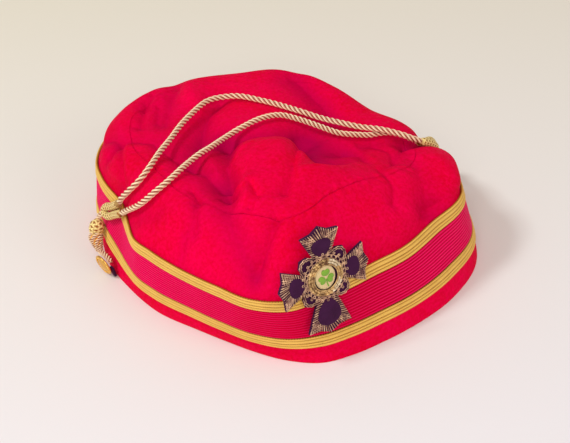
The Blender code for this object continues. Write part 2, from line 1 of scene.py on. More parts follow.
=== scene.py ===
"""A soft red fez lying slumped on a pale table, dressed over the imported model.

Lengths in the tables are in millimetres; the meshes are in metres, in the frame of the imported
model: the front of the hat faces -Y and the open head end rests on z = 0.
"""
import math

import bmesh
import bpy
import numpy as np
from mathutils import Matrix, Vector


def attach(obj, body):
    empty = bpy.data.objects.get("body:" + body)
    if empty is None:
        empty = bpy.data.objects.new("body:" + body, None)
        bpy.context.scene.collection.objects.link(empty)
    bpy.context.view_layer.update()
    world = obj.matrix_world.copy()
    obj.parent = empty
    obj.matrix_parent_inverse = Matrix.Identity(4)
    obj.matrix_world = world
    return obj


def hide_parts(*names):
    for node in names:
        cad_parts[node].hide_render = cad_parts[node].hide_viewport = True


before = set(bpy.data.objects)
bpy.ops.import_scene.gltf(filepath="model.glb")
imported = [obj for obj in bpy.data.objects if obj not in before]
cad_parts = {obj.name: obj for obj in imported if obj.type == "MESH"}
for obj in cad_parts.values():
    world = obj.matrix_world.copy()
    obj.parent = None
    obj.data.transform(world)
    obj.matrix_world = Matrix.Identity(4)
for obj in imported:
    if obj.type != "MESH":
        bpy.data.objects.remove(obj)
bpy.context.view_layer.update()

# ==== Camera ==============================================================================
# The view of the photograph: from the front, a little to the wearer's right, looking down at
# the hat from about 39 degrees above the table.
VIEW_TURN = math.radians(-12)
VIEW_HEIGHT = math.radians(39)
VIEW_DISTANCE = 0.70
VIEW_TARGET = Vector((-0.0036, -0.0036, 0.020))
VIEW_LENS = 83.4

camera = bpy.data.objects.new("camera", bpy.data.cameras.new("camera"))
bpy.context.collection.objects.link(camera)
towards = Vector((math.sin(VIEW_TURN) * math.cos(VIEW_HEIGHT),
                  -math.cos(VIEW_TURN) * math.cos(VIEW_HEIGHT), math.sin(VIEW_HEIGHT)))
camera.location = VIEW_TARGET + towards * VIEW_DISTANCE
camera.rotation_euler = towards.to_track_quat("Z", "Y").to_euler()
camera.data.lens = VIEW_LENS
camera.data.sensor_width = 36.0
bpy.context.scene.camera = camera

# ==== Cords across the crown ==============================================================
# Two gold cords, each three strands of metal-wrapped yarn twisted together, lie loose over
# the folds of the crown from the loop on one side to the loop on the other.
MM = 0.001
CORD_DIAMETER = 3.1
FAR_TWIST = 9.2        # length of one full turn of the strands
NEAR_TWIST = 7.8
STRANDS = 3
GROOVE = 0.46          # how far in the cord is cut between strands, as a share of its radius
FAR_CORD = (
    (-89.8, -5.1, 47.8), (-87.9, -6.6, 52.2), (-83.9, -8.8, 58.0), (-78.4, -8.4, 63.2),
    (-72.6, -2.6, 66.0), (-65.8, 8.9, 66.2), (-58.8, 20.2, 65.4), (-50.5, 33.5, 65.2),
    (-38.9, 48.9, 63.9), (-32.4, 54.6, 63.2), (-25.0, 56.5, 62.8), (-16.4, 54.4, 63.5),
    (-6.2, 49.3, 62.9), (3.7, 42.9, 62.4), (12.8, 34.8, 62.6), (22.0, 30.2, 60.4),
    (31.8, 22.5, 60.8), (41.4, 17.2, 60.3), (51.0, 11.3, 61.4), (60.4, 6.4, 60.3),
    (66.5, 4.8, 57.9), (72.0, 5.2, 54.9),
)
NEAR_CORD = (
    (-89.4, -10.3, 45.1), (-86.1, -14.9, 50.2), (-80.2, -20.4, 57.3), (-73.0, -21.8, 64.4),
    (-66.0, -19.0, 67.8), (-58.6, -12.4, 69.1), (-52.6, -5.2, 68.2), (-46.5, -0.1, 68.6),
    (-40.6, 5.5, 67.4), (-34.3, 12.3, 65.9), (-27.8, 18.3, 65.0), (-22.4, 21.4, 65.6),
    (-10.4, 27.3, 66.2), (1.0, 30.2, 64.9), (10.8, 25.5, 63.7), (20.2, 19.9, 61.8),
    (29.7, 14.6, 59.8), (40.8, 14.1, 57.4), (46.0, 13.7, 56.9), (51.0, 13.4, 57.4),
    (56.0, 11.9, 58.2), (61.0, 9.4, 58.0), (66.8, 8.4, 55.2), (71.6, 9.0, 52.0),
)


def add_node(tree, kind, inputs, **settings):
    """New shader node; inputs holds values or the sockets that feed it."""
    made = tree.nodes.new(kind)
    for key, value in settings.items():
        setattr(made, key, value)
    for key, value in inputs.items():
        if isinstance(value, bpy.types.NodeSocket):
            tree.links.new(value, made.inputs[key])
        else:
            made.inputs[key].default_value = value
    return made


def maths(tree, operation, first, second=0.0):
    return add_node(tree, "ShaderNodeMath", {0: first, 1: second}, operation=operation).outputs[0]


def times(tree, first, second):
    return maths(tree, "MULTIPLY", first, second)


def plus(tree, first, second):
    return maths(tree, "ADD", first, second)


def minus(tree, first, second):
    return maths(tree, "SUBTRACT", first, second)


def blended(tree, factor, low, high):
    """Colour between low and high."""
    low, high = ((*end, 1.0) if isinstance(end, tuple) else end for end in (low, high))
    mixed = add_node(tree, "ShaderNodeMix", {0: factor, 6: low, 7: high}, data_type="RGBA")
    return mixed.outputs[2]


def new_finish(name, roughness, metallic=0.0, sheen=0.0, sheen_tint=(1, 1, 1), gloss=0.5,
               gloss_tint=(1, 1, 1)):
    """Material with its steady values set; its colour and relief are joined on after."""
    mat = bpy.data.materials.new(name)
    mat.use_nodes = True
    shader = mat.node_tree.nodes["Principled BSDF"]
    for socket, value in (
            ("Roughness", roughness), ("Metallic", metallic), ("Sheen Weight", sheen),
            ("Sheen Tint", (*sheen_tint, 1.0)), ("Sheen Roughness", 0.4),
            ("Specular IOR Level", gloss), ("Specular Tint", (*gloss_tint, 1.0))):
        shader.inputs[socket].default_value = value
    return mat, mat.node_tree, shader


def dress(tree, shader, colour, height, depth):
    """Join a colour and a relief of the given depth in metres to the shader."""
    tree.links.new(colour, shader.inputs["Base Color"])
    bump = add_node(tree, "ShaderNodeBump", {"Height": height, "Distance": depth})
    tree.links.new(bump.outputs[0], shader.inputs["Normal"])


def thread_group():
    """Rounded threads side by side: Across is millimetres over them, Spacing their width."""
    group = bpy.data.node_groups.new("threads", "ShaderNodeTree")
    for socket, way in (("Across", "INPUT"), ("Spacing", "INPUT"), ("Height", "OUTPUT")):
        group.interface.new_socket(socket, in_out=way, socket_type="NodeSocketFloat")
    ins = group.nodes.new("NodeGroupInput")
    outs = group.nodes.new("NodeGroupOutput")
    count = maths(group, "DIVIDE", ins.outputs["Across"], ins.outputs["Spacing"])
    part = minus(group, maths(group, "FRACT", count), 0.5)
    square = times(group, times(group, part, part), 4.0)
    group.links.new(maths(group, "SQRT", minus(group, 1.0, square)), outs.inputs[0])
    return group


THREADS = thread_group()


def threads(tree, across, spacing):
    settings = {"Across": across, "Spacing": spacing}
    return add_node(tree, "ShaderNodeGroup", settings, node_tree=THREADS).outputs["Height"]


def thread_axes(tree):
    """Millimetres along and across the piece, from its own UV map."""
    uv = add_node(tree, "ShaderNodeUVMap", {}, uv_map="thread")
    parts = add_node(tree, "ShaderNodeSeparateXYZ", {0: uv.outputs[0]})
    return parts.outputs[0], parts.outputs[1]


def crest_of(tree):
    """0 down in a groove or fold to 1 on a crest, as the piece's own attribute has it. The
    finishes paint shade where it is low, and the ribbon a highlight where it is high.
    """
    return add_node(tree, "ShaderNodeAttribute", {}, attribute_name="crest").outputs["Fac"]


def where_on_piece(tree):
    return add_node(tree, "ShaderNodeTexCoord", {}).outputs["Object"]


def clouding(tree, scale, detail=3.0):
    """Slow change from place to place, 0 to 1."""
    settings = {"Vector": where_on_piece(tree), "Scale": scale, "Detail": detail}
    return add_node(tree, "ShaderNodeTexNoise", settings).outputs["Fac"]


def metal_yarn(name, light, dark, roughness, yarn):
    """Yarn wrapped in metal strip: pale as a painted highlight on the crests, and dark as
    painted shade in the grooves.
    """
    mat, tree, shader = new_finish(name, roughness, gloss=0.35, gloss_tint=(1.0, 0.7, 0.35))
    along, across = thread_axes(tree)
    ply = threads(tree, across, yarn)
    wrap = threads(tree, plus(tree, along, times(tree, across, 0.6)), 0.28)
    worn = times(tree, clouding(tree, 300.0), 0.12)
    # Painted shade and highlight: dark in the grooves between strands and yarns, pale on their
    # crests.
    level = times(tree, crest_of(tree), plus(tree, times(tree, ply, 0.8), 0.4))
    height = plus(tree, ply, times(tree, wrap, 0.35))
    dress(tree, shader, blended(tree, minus(tree, level, worn), dark, light), height, 0.00012)
    return mat


def smooth_route(points, spacing):
    """Evenly spaced points of a smooth curve through the route points."""
    p = np.array(points, float)
    p = np.vstack([2 * p[0] - p[1], p, 2 * p[-1] - p[-2]])
    fine = []
    for a, b, c, d in zip(p, p[1:], p[2:], p[3:]):
        for t in np.linspace(0, 1, 24, endpoint=False):
            fine.append((2 * b + (c - a) * t + (2 * a - 5 * b + 4 * c - d) * t**2
                         + (3 * b - a - 3 * c + d) * t**3) / 2)
    fine.append(p[-2])
    fine = np.array(fine)
    run = np.concatenate([[0], np.cumsum(np.linalg.norm(np.diff(fine, axis=0), axis=1))])
    steps = np.linspace(0, run[-1], max(3, round(run[-1] / spacing) + 1))
    return np.stack([np.interp(steps, run, fine[:, k]) for k in range(3)], -1)


def route_sides(path):
    """Two directions square to the path at each point, carried along it without turning."""
    ahead = np.gradient(path, axis=0)
    ahead /= np.linalg.norm(ahead, axis=1)[:, None]
    side = np.cross(ahead[0], (0.3, 0.2, 1.0))
    sides = []
    for direction in ahead:
        side = side - direction * (side @ direction)
        side = side / np.linalg.norm(side)
        sides.append(side)
    sides = np.array(sides)
    return sides, np.cross(ahead, sides)


def to_mesh(name, bm):
    """Mesh data from a finished bmesh, which is freed."""
    mesh = bpy.data.meshes.new(name)
    bm.to_mesh(mesh)
    bm.free()
    return mesh


def rolled(name, columns, rows, place, mat, capped=False):
    """A flat grid of squares laid into shape by place(u, v) and sewn up where edges meet."""
    bm = bmesh.new()
    bmesh.ops.create_grid(bm, x_segments=columns, y_segments=rows, size=0.5)
    mesh = to_mesh(name, bm)
    flat = np.empty(3 * len(mesh.vertices))
    mesh.vertices.foreach_get("co", flat)
    points, thread, crest = place(flat[0::3] + 0.5, flat[1::3] + 0.5)
    mesh.vertices.foreach_set("co", (points * MM).ravel())
    corner = np.empty(len(mesh.loops), np.int32)
    mesh.loops.foreach_get("vertex_index", corner)
    mesh.uv_layers.new(name="thread").data.foreach_set("uv", thread[corner].ravel())
    mesh.attributes.new("crest", "FLOAT", "POINT").data.foreach_set("value", crest)
    bm = bmesh.new()
    bm.from_mesh(mesh)
    bmesh.ops.remove_doubles(bm, verts=bm.verts, dist=1e-7)
    if capped:
        bmesh.ops.holes_fill(bm, edges=[e for e in bm.edges if e.is_boundary])
    bmesh.ops.recalc_face_normals(bm, faces=bm.faces)
    bm.to_mesh(mesh)
    bm.free()
    return placed(name, mesh, mat)


def placed(name, mesh, mat, smooth=True):
    """Object for a finished mesh, riding on the hat."""
    obj = bpy.data.objects.new(name, mesh)
    bpy.context.collection.objects.link(obj)
    mesh.materials.append(mat)
    if smooth:
        mesh.shade_smooth()
    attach(obj, "root")
    return obj


def tube(name, route, step, around, shape, mat):
    """Capped tube along a route. From the share of its length, the angle round it and its
    length, shape gives its radius, how far it is turned, its thread across and its crest."""
    path = smooth_route(route, step)
    side, up = route_sides(path)
    rings = len(path) - 1
    length = rings * step

    def place(u, v):
        i = np.rint(u * rings).astype(int)
        radius, turn, across, crest = shape(u, 2 * math.pi * v, length)
        points = (path[i] + side[i] * (radius * np.cos(turn))[:, None]
                  + up[i] * (radius * np.sin(turn))[:, None])
        return points, np.stack([u * length, across], -1), crest

    return rolled(name, rings, around, place, mat, capped=True), path


def strand_radius(turn):
    """Outline of strands laid side by side round a cord of radius 1, cut off in the grooves."""
    half = math.pi / STRANDS
    strand = 1 / (1 + 1 / math.sin(half))
    middle = 1 - strand
    off = np.mod(turn, 2 * half) - half
    inside = np.clip(strand**2 - (middle * np.sin(off))**2, 0, None)
    return np.maximum(middle * np.cos(off) + np.sqrt(inside), GROOVE)


def twisted_cord(name, route, diameter, twist, mat, step=0.45, start=0.0):
    """Cord of twisted strands along a route, with rounded ends. Returns it and its path."""
    def shape(u, angle, length):
        wind = 2 * math.pi * u * length / twist + start
        outline = strand_radius(angle)
        ends = np.minimum(u, 1 - u) * length / (0.4 * diameter)
        rounded = np.sqrt(np.clip(1 - (1 - ends) ** 2, 0.02, 1) * (ends < 1) + (ends >= 1))
        across = (angle + 0.5 * wind) * diameter / 2
        # The crest sets where the colour takes painted shade, in the grooves between the strands.
        crest = ((outline - GROOVE) / (1 - GROOVE)) ** 1.3
        return diameter / 2 * outline * rounded, angle + wind, across, crest

    return tube(name, route, step, 12 * STRANDS, shape, mat)


# Its dark red is painted shade in the grooves, with a painted reflection of the red cloth.
cord_gold = metal_yarn("twisted_gold_cord", (1.0, 0.80, 0.52), (0.32, 0.004, 0.004), 0.36, 1.62)

for name, node, route, twist, length in (
        ("far_cord", "cord_far", FAR_CORD, FAR_TWIST, 0.220),
        ("near_cord", "cord_near", NEAR_CORD, NEAR_TWIST, 0.201)):
    cord, path = twisted_cord(name, route, CORD_DIAMETER, twist, cord_gold)
    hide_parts(node)

# ==== Loops at the cords' ends ============================================================
# Below each end the two cords run on as one doubled-back loop of a paler, plaited cord, which
# lies against the band. It is plaited from eight flat metal threads over a core.
LEFT_LOOP = (
    (-89.7, -9.7, 44.5), (-91.1, -4.0, 39.9), (-92.6, 0.9, 35.8), (-94.2, 3.9, 33.0),
    (-95.8, 7.2, 30.8), (-96.9, 10.2, 30.6), (-96.6, 10.6, 32.9), (-95.3, 8.8, 35.6),
    (-93.6, 5.4, 38.0), (-91.7, 1.0, 41.8), (-90.2, -4.4, 46.9),
)
RIGHT_LOOP = (
    (72.7, 5.5, 54.4), (75.6, 7.0, 52.3), (78.8, 9.0, 49.6), (81.6, 11.6, 46.0),
    (83.4, 15.0, 42.4), (84.6, 18.4, 39.4), (85.2, 21.2, 38.0), (84.4, 23.0, 39.8),
    (82.0, 20.6, 43.2), (79.4, 16.8, 46.0), (76.6, 13.6, 47.8), (74.4, 11.4, 49.6),
    (72.3, 9.8, 51.2),
)
PLAIT_DIAMETER = 4.2
PLAIT_STEP = 0.3


def plaited_cord(name, route, radii, mat, repeat=2.6, relief=0.12):
    """Plaited cord or knot along a route; radii gives its half thickness down its length."""
    stops = np.linspace(0, 1, len(radii))

    def shape(u, angle, length):
        along = 2 * math.pi * u * length / repeat
        over = np.abs(np.sin(2 * angle + along / 2))
        under = np.abs(np.sin(2 * angle - along / 2))
        weave = np.maximum(over, under)
        radius = np.interp(u, stops, radii) * (1 - 2 * relief + 2 * relief * weave)
        # The last value puts painted shade down between the plaited threads, where the weave is
        # low.
        return radius, angle, 12.0 * angle / math.tau, np.clip((weave - 0.6) / 0.4, 0, 1)

    return tube(name, route, PLAIT_STEP, 32, shape, mat)


plait_gold = metal_yarn("plaited_pale_gold", (1.0, 0.80, 0.32), (0.30, 0.07, 0.010), 0.38, 0.9)

# ==== Knots, drops and tails ==============================================================
# From each loop a short cord drops to a knot: a plaited ball over a bundle of twisted ends,
# bound with orange-gold thread. Loose twisted tails run on from it to the button.
LEFT_DROP = ((-98.1, 11.4, 29.6), (-99.7, 13.6, 26.6), (-100.1, 14.2, 24.6))
LEFT_TAIL = ((-101.7, 7.6, 7.2), (-100.5, 4.6, 8.4), (-98.9, 0.8, 9.3), (-97.5, -2.8, 9.2),
             (-96.9, -4.7, 9.2))
RIGHT_DROP = ((85.5, 22.5, 37.3), (87.6, 28.6, 32.4), (89.2, 34.4, 27.1))
RIGHT_TAIL = ((92.4, 38.7, 9.4), (91.6, 40.3, 7.4), (91.2, 43.3, 6.1))
LEFT_KNOT = (
    ((-100.4, 14.4, 23.4), 2.4), ((-101.1, 14.2, 20.8), 3.8), ((-101.9, 13.8, 18.0), 4.2),
    ((-102.5, 13.0, 15.6), 3.8), ((-102.8, 11.9, 13.2), 4.1), ((-102.4, 10.6, 10.8), 3.6),
    ((-101.9, 9.2, 8.6), 2.4),
)
RIGHT_KNOT = (
    ((89.6, 34.8, 26.0), 2.4), ((90.4, 35.4, 23.4), 4.2), ((91.2, 36.0, 20.6), 4.7),
    ((91.8, 36.6, 18.0), 4.3), ((92.2, 37.2, 15.4), 4.7), ((92.4, 37.8, 12.8), 4.0),
    ((92.4, 38.4, 10.6), 2.4),
)
TAIL_DIAMETER = 3.0
DROP_TWIST = 8.0
TAIL_TWIST = 6.5
KNOT_ENDS = 6
ENDS_FROM = 0.36       # where on the knot its twisted ends start, as a share of its length
END_DIAMETER = 2.3
END_TWIST = 4.2
END_SWEEP = 2.9        # how far round the knot the twisted ends slant, in radians

thread_gold = metal_yarn("orange_gold_thread", (0.95, 0.42, 0.05), (0.36, 0.09, 0.01), 0.40, 0.5)


def joined(name, parts):
    """Put several pieces of one kind into one object."""
    bm = bmesh.new()
    for part in parts:
        bm.from_mesh(part.data)
    mat = parts[0].data.materials[0]
    for part in parts:
        bpy.data.objects.remove(part, do_unlink=True)
    return placed(name, to_mesh(name, bm), mat)


def knot_ends(name, knot):
    """Twisted ends laid slantwise over the lower part of a knot."""
    axis = smooth_route([p for p, _ in knot], 0.5)
    radii = np.interp(np.linspace(0, 1, len(axis)), np.linspace(0, 1, len(knot)),
                      [r for _, r in knot])
    side, up = route_sides(axis)
    low, high = int(ENDS_FROM * len(axis)), len(axis)
    parts = []
    for k in range(KNOT_ENDS):
        route = []
        for i in np.linspace(low, high - 1, 7).astype(int):
            turn = 2 * math.pi * k / KNOT_ENDS + END_SWEEP * (i - low) / (high - low)
            out = max(radii[i] - 0.45 * END_DIAMETER, 0.4)
            route.append(axis[i] + out * (side[i] * math.cos(turn) + up[i] * math.sin(turn)))
        parts.append(twisted_cord(f"{name}_{k}", route, END_DIAMETER, END_TWIST, cord_gold,
                                  step=0.35, start=k)[0])
    return joined(name, parts)


def knot_set(side_name, drop, knot, tail):
    """Drop, knot and tail of one side, as the pieces that hang on the loop."""
    drop_cord, _ = twisted_cord(side_name + "_drop_cord", drop, TAIL_DIAMETER, DROP_TWIST,
                                cord_gold)
    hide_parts(side_name + "_drop")
    points = [p for p, _ in knot]
    radii = [r for _, r in knot]
    ball, _ = plaited_cord(side_name + "_knot_ball", points[:4],
                           [1.6, radii[1], radii[2], 0.9 * radii[3]], plait_gold, repeat=2.4,
                           relief=0.07)
    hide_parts(side_name + "_knot")
    core, _ = plaited_cord(side_name + "_knot_core", points[3:],
                           [0.8 * r for r in radii[3:]], thread_gold, repeat=3.0, relief=0.03)
    ends = knot_ends(side_name + "_knot_ends", (*knot, (tail[0], 2.1)))
    tails, _ = twisted_cord(side_name + "_tail_cord", tail, TAIL_DIAMETER, TAIL_TWIST, cord_gold)
    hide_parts(side_name + "_tail")
    return [drop_cord, ball, core, ends, tails]


left_hung = knot_set("left", LEFT_DROP, LEFT_KNOT, LEFT_TAIL)
right_hung = knot_set("right", RIGHT_DROP, RIGHT_KNOT, RIGHT_TAIL)

# ==== Gilt buttons and the velvet tab =====================================================
# Each knot's tail ends in a thin domed gilt button with a beaded edge, pressed from sheet
# brass. The one on the wearer's right has a dark velvet tab behind it, sewn to the band.
LEFT_BUTTON = ((-101.0, -3.4, 6.9), (-0.84, -0.50, -0.23))
RIGHT_BUTTON = ((92.6, 46.6, 6.9), (0.84, 0.50, 0.20))
BUTTON_PROFILE = ((0.0, 1.05), (1.5, 1.0), (2.9, 0.75), (3.9, 0.35), (4.3, 0.15), (4.6, 0.35),
                  (5.2, 0.45), (5.8, 0.25), (6.0, -0.2), (5.7, -0.7), (4.5, -0.9), (0.0, -0.9))
BEADS = 26
BEAD_RADIUS = 0.5
BEAD_CIRCLE = 4.75
TAB_SIZE = (2.4, 6.8, 1.4)
TAB_MIDDLE = (-96.2, -5.9, 3.8)

gilt, tree, shader = new_finish("gilt_brass", 0.28, 1.0)
tarnish = clouding(tree, 260.0, 5.0)
gilt_colour = blended(tree, tarnish, (0.95, 0.62, 0.16), (0.70, 0.36, 0.07))
dress(tree, shader, gilt_colour, tarnish, 0.00006)


def turned(middle, facing):
    """Matrix that sets a piece made flat at the origin onto its place, facing outwards."""
    aim = Vector(facing).to_track_quat("Z", "Y").to_matrix().to_4x4()
    return Matrix.Translation(Vector(middle) * MM) @ aim


def gilt_button(name, node, middle, facing):
    bm = bmesh.new()
    line = [bm.verts.new((r * MM, 0, z * MM)) for r, z in BUTTON_PROFILE]
    edges = [bm.edges.new(pair) for pair in zip(line, line[1:])]
    bmesh.ops.spin(bm, geom=line + edges, cent=(0, 0, 0), axis=(0, 0, 1), angle=math.tau,
                   steps=72, use_merge=True)
    bmesh.ops.remove_doubles(bm, verts=bm.verts, dist=1e-6)
    for i in range(BEADS):
        turn = math.tau * i / BEADS
        spot = Vector((BEAD_CIRCLE * math.cos(turn), BEAD_CIRCLE * math.sin(turn), 0.35)) * MM
        bmesh.ops.create_icosphere(bm, subdivisions=2, radius=BEAD_RADIUS * MM,
                                   matrix=Matrix.Translation(spot))
    bmesh.ops.recalc_face_normals(bm, faces=bm.faces)
    bmesh.ops.transform(bm, verts=bm.verts, matrix=turned(middle, facing))
    obj = placed(name, to_mesh(name, bm), gilt)
    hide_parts(node)
    return obj


left_gilt = gilt_button("left_gilt_button", "left_button", *LEFT_BUTTON)
right_gilt = gilt_button("right_gilt_button", "right_button", *RIGHT_BUTTON)

velvet, tree, shader = new_finish("dark_velvet", 0.85, sheen=0.12, sheen_tint=(0.70, 0.25, 0.60),
                                  gloss=0.1)
pile = clouding(tree, 2600.0, 2.0)
nap = blended(tree, clouding(tree, 180.0), (0.030, 0.005, 0.024), (0.062, 0.012, 0.058))
dress(tree, shader, nap, pile, 0.00015)


def velvet_tab():
    bm = bmesh.new()
    bmesh.ops.create_cube(bm, size=1.0)
    bmesh.ops.scale(bm, verts=bm.verts, vec=Vector(TAB_SIZE) * MM)
    bmesh.ops.bevel(bm, geom=bm.edges[:], offset=0.35 * MM, segments=3, profile=0.5,
                    affect="EDGES", material=-1)
    bmesh.ops.transform(bm, verts=bm.verts, matrix=turned(TAB_MIDDLE, LEFT_BUTTON[1]))
    return placed("velvet_tab", to_mesh("velvet_tab", bm), velvet)


tab = velvet_tab()
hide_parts("button_tab")

for side_name, route, hung in (("left", LEFT_LOOP, left_hung + [left_gilt, tab]),
                               ("right", RIGHT_LOOP, right_hung + [right_gilt])):
    loop, loop_path = plaited_cord(side_name + "_plaited_loop", route,
                                   [PLAIT_DIAMETER / 2] * 2, plait_gold)
    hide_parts(side_name + "_loop")

# ==== Head band ===========================================================================
# A stiffened strip of the red cloth, turned up at the rim, which keeps the slumped hat's
# outline. The crown is sewn to its top edge and the trimming to its face.
BAND_WIDTH = 42.0
CLOTH_THICK = 1.8
POLE = (-3.6, 4.4)
POLE_HEIGHT = 70.0
MEAN_RADIUS = 95.0
COLUMNS = ("deg", "rim", "bow", "top", "top_z", "side", "side_z", "seam", "seam_z", "mid_z")
STATIONS = (
    (0, 95.5, 1.0, 84.8, 40.3, 80, 58, 63, 71, 73),       # front, beside the badge
    (10, 94.7, 0.5, 81.0, 40.5, 76, 57, 56, 71, 72),
    (22, 93.7, 0.5, 79.0, 41.5, 73, 56, 53, 70, 71),
    (36, 95.5, 0.5, 80.6, 42.0, 74, 55, 53, 68, 69),
    (52, 100.5, 0.5, 83.6, 43.6, 77, 54, 58, 64, 66),
    (68, 105.5, 0.0, 92.5, 44.2, 86, 52, 66, 60, 63),      # +X corner
    (82, 104.0, 0.0, 90.0, 42.6, 89.5, 51.5, 70, 57.5, 60),
    (95, 99.0, 0.0, 84.5, 41.0, 83, 49, 69, 56, 59),
    (110, 93.0, 0.0, 80.0, 41.0, 77.5, 49.5, 66.5, 54.5, 59),
    (125, 88.0, 0.0, 77.0, 41.0, 73, 49, 63, 55, 59),
    (145, 85.0, 0.0, 78.0, 41.5, 76, 53, 67.5, 57.5, 60),
    (165, 85.0, 0.0, 83.0, 42.0, 83, 55, 75.5, 61, 60),
    (185, 87.0, 0.0, 86.0, 42.0, 86, 53, 77, 59, 61),      # back
    (202, 92.5, 0.0, 92.0, 42.0, 91, 54, 80.5, 60, 62),
    (220, 100.0, 0.0, 99.0, 42.0, 97.5, 54, 87, 61.5, 63),
    (235, 104.0, 0.0, 102.0, 42.0, 100.5, 52, 87, 60, 64),    # -X back corner
    (248, 102.5, 0.0, 99.5, 42.0, 96, 52, 81, 60, 65),
    (257, 98.0, 0.0, 93.5, 42.0, 90, 53, 76, 61, 66),
    (270, 94.0, 0.0, 84.0, 42.0, 82, 54, 68, 63, 67),
    (277, 91.0, 0.0, 83.4, 42.0, 80, 55, 66, 64, 68),
    (284, 88.5, 0.4, 84.8, 42.0, 79, 56, 65, 65, 69),      # -X front corner
    (292, 86.6, 0.5, 87.2, 42.0, 79, 56, 65, 66, 70),
    (300, 85.2, 0.5, 85.8, 42.0, 78, 57, 65, 67, 70),
    (315, 82.0, 0.5, 86.0, 42.0, 78, 58, 64, 69, 72),
    (328, 83.0, 1.0, 88.6, 42.0, 80, 58, 65, 70, 73),
    (339, 86.8, 1.0, 93.0, 41.5, 84, 58, 67, 71, 74),
    (350, 92.0, 1.0, 92.3, 41.0, 85, 58, 68, 71, 74),
)
# Folds lie along short paths in plan. left and right are how far each side of the path the
# fold reaches, looking along it. rise is positive for a ridge and negative for a valley, and
# crisp is 2 for a rounded fold down to 1 for a sharp crease.
FOLD_COLUMNS = ("name", "path", "left", "right", "rise", "crisp")
FOLDS = (
    ("raised middle", ((-23, -5), (-5, -7)), 8, 24, 4.0, 2.0),
    ("drop behind the middle", ((-27, 17), (-10, 15), (7, 15)), 11, 6, -6.0, 1.6),
    ("pit", ((10, 13), (9, -3), (12, -14)), 14, 6, -10.0, 1.5),
    ("pit's front lip", ((2, -31), (16, -29), (32, -19)), 4, 11, 3.0, 1.6),
    ("trough towards the +X knot", ((26, 4), (46, 11)), 8, 8, -3.5, 2.0),
    ("deep valley", ((-31, 16), (-31, 4), (-35, -12), (-36, -27)), 5, 11, -8.0, 1.3),
    ("crest beside the deep valley", ((-42, 4), (-41, -14)), 5, 5, 1.5, 1.8),
    ("slanting valley", ((-52, -3), (-46, -13), (-40, -30), (-38, -38)), 4, 7, -4.0, 1.3),
    ("swelling by the valley", ((-29, -34), (-31, -46)), 6, 5, 4.0, 1.7),
    ("front valley", ((-41, -47), (-40, -58), (-36, -71), (-33, -77)), 5, 8, -4.0, 1.5),
    ("bent valley", ((-26, 57), (-35, 46), (-40, 32), (-46, 12)), 4, 11, -5.5, 1.2),
    ("left crease", ((-90, 44), (-84, 36), (-68, 27), (-60, 9), (-52, -2)), 8, 4, -3.5, 1.2),
    ("left back crease", ((-46, 78), (-52, 66), (-59, 43)), 4, 8, -4.0, 1.3),
    ("left back ridge", ((-42, 76), (-39, 52)), 6, 6, 2.0, 2.0),
    ("back valley", ((20, 74), (29, 52), (33, 36)), 5, 13, -6.0, 1.5),
    ("edge of the +X side", ((62, -4), (65, -20), (61, -30)), 6, 10, 1.5, 2.0),
    ("hollow of the +X side", ((60, 4), (62, -22), (62, -44)), 7, 7, -3.0, 1.7),
    ("hollow over the braid", ((62, -47), (70, -40)), 5, 5, -2.0, 1.8),
    ("swelling of the +X side", ((75, -11), (83, -24)), 7, 7, 1.5, 2.0),
    ("dip under the cords' +X end", ((66, 7), (84, 13)), 9, 6, -5.5, 2.0),
    ("hollow under the near cord", ((-84, -18), (-74, -29)), 5, 5, -2.0, 1.8),
)
# Finer creases, which only show close to.
CREASES = (
    ("crease of the middle", ((2, -8), (-7, -35), (-12, -46)), 2.0, 5, -3.3, 1.2),
    ("front crease", ((-19, -62), (-26, -71), (-32, -77)), 2.5, 4, -3.3, 1.2),
    ("pinch by the valley", ((-40, -31), (-33, -35)), 2, 2, 1.6, 1.3),
    ("pinch beside it", ((-42, -35), (-36, -39)), 2, 2, -2.7, 1.2),
    ("left star down", ((-85, 34), (-92, 28)), 3, 3, -3.0, 1.1),
    ("left star foot", ((-84, 33), (-87, 2)), 2.5, 2.5, -2.1, 1.2),
    ("left star second foot", ((-81, 31), (-84, 8)), 2.5, 2.5, 1.0, 1.4),
    ("left short crease", ((-67, 67), (-72, 44)), 2.5, 4, -3.0, 1.2),
    ("left short crease above", ((-62, 73), (-68, 61)), 2.5, 3, -2.4, 1.2),
    ("left crease by the cord", ((-60, 60), (-63, 46)), 2, 3, -1.8, 1.2),
    ("wrinkle by the pit", ((30, 6), (37, -1), (37, -18)), 2.5, 4, -3.6, 1.2),
    ("wrinkle beside it", ((36, 10), (40, -12)), 2.0, 2.5, 1.2, 1.5),
    ("wrinkle over the trough", ((46, 8), (52, -4), (51, -16)), 2.5, 3, -2.1, 1.2),
    ("crease to the seam", ((64, 8), (50, -17), (41, -26)), 2.0, 2.5, -1.8, 1.2),
    ("crease over the side", ((41, -27), (45, -38), (42, -48)), 3, 3, -1.8, 1.3),
    ("left front nick", ((-55, -27), (-53, -36)), 1.8, 2.2, -2.8, 1.1),
    ("left front crease", ((-55, -36), (-58, -50)), 2.0, 2.8, -2.7, 1.1),
    ("front nick", ((-62, -46), (-66, -54)), 1.8, 2.4, -2.0, 1.2),
    ("shaded side of the bump", ((-27, -36), (-26, -45), (-31, -51)), 2.5, 3, -3.3, 1.2),
    ("end of the deep valley", ((-36, -29), (-38, -38)), 2.0, 2.4, -2.7, 1.2),
)


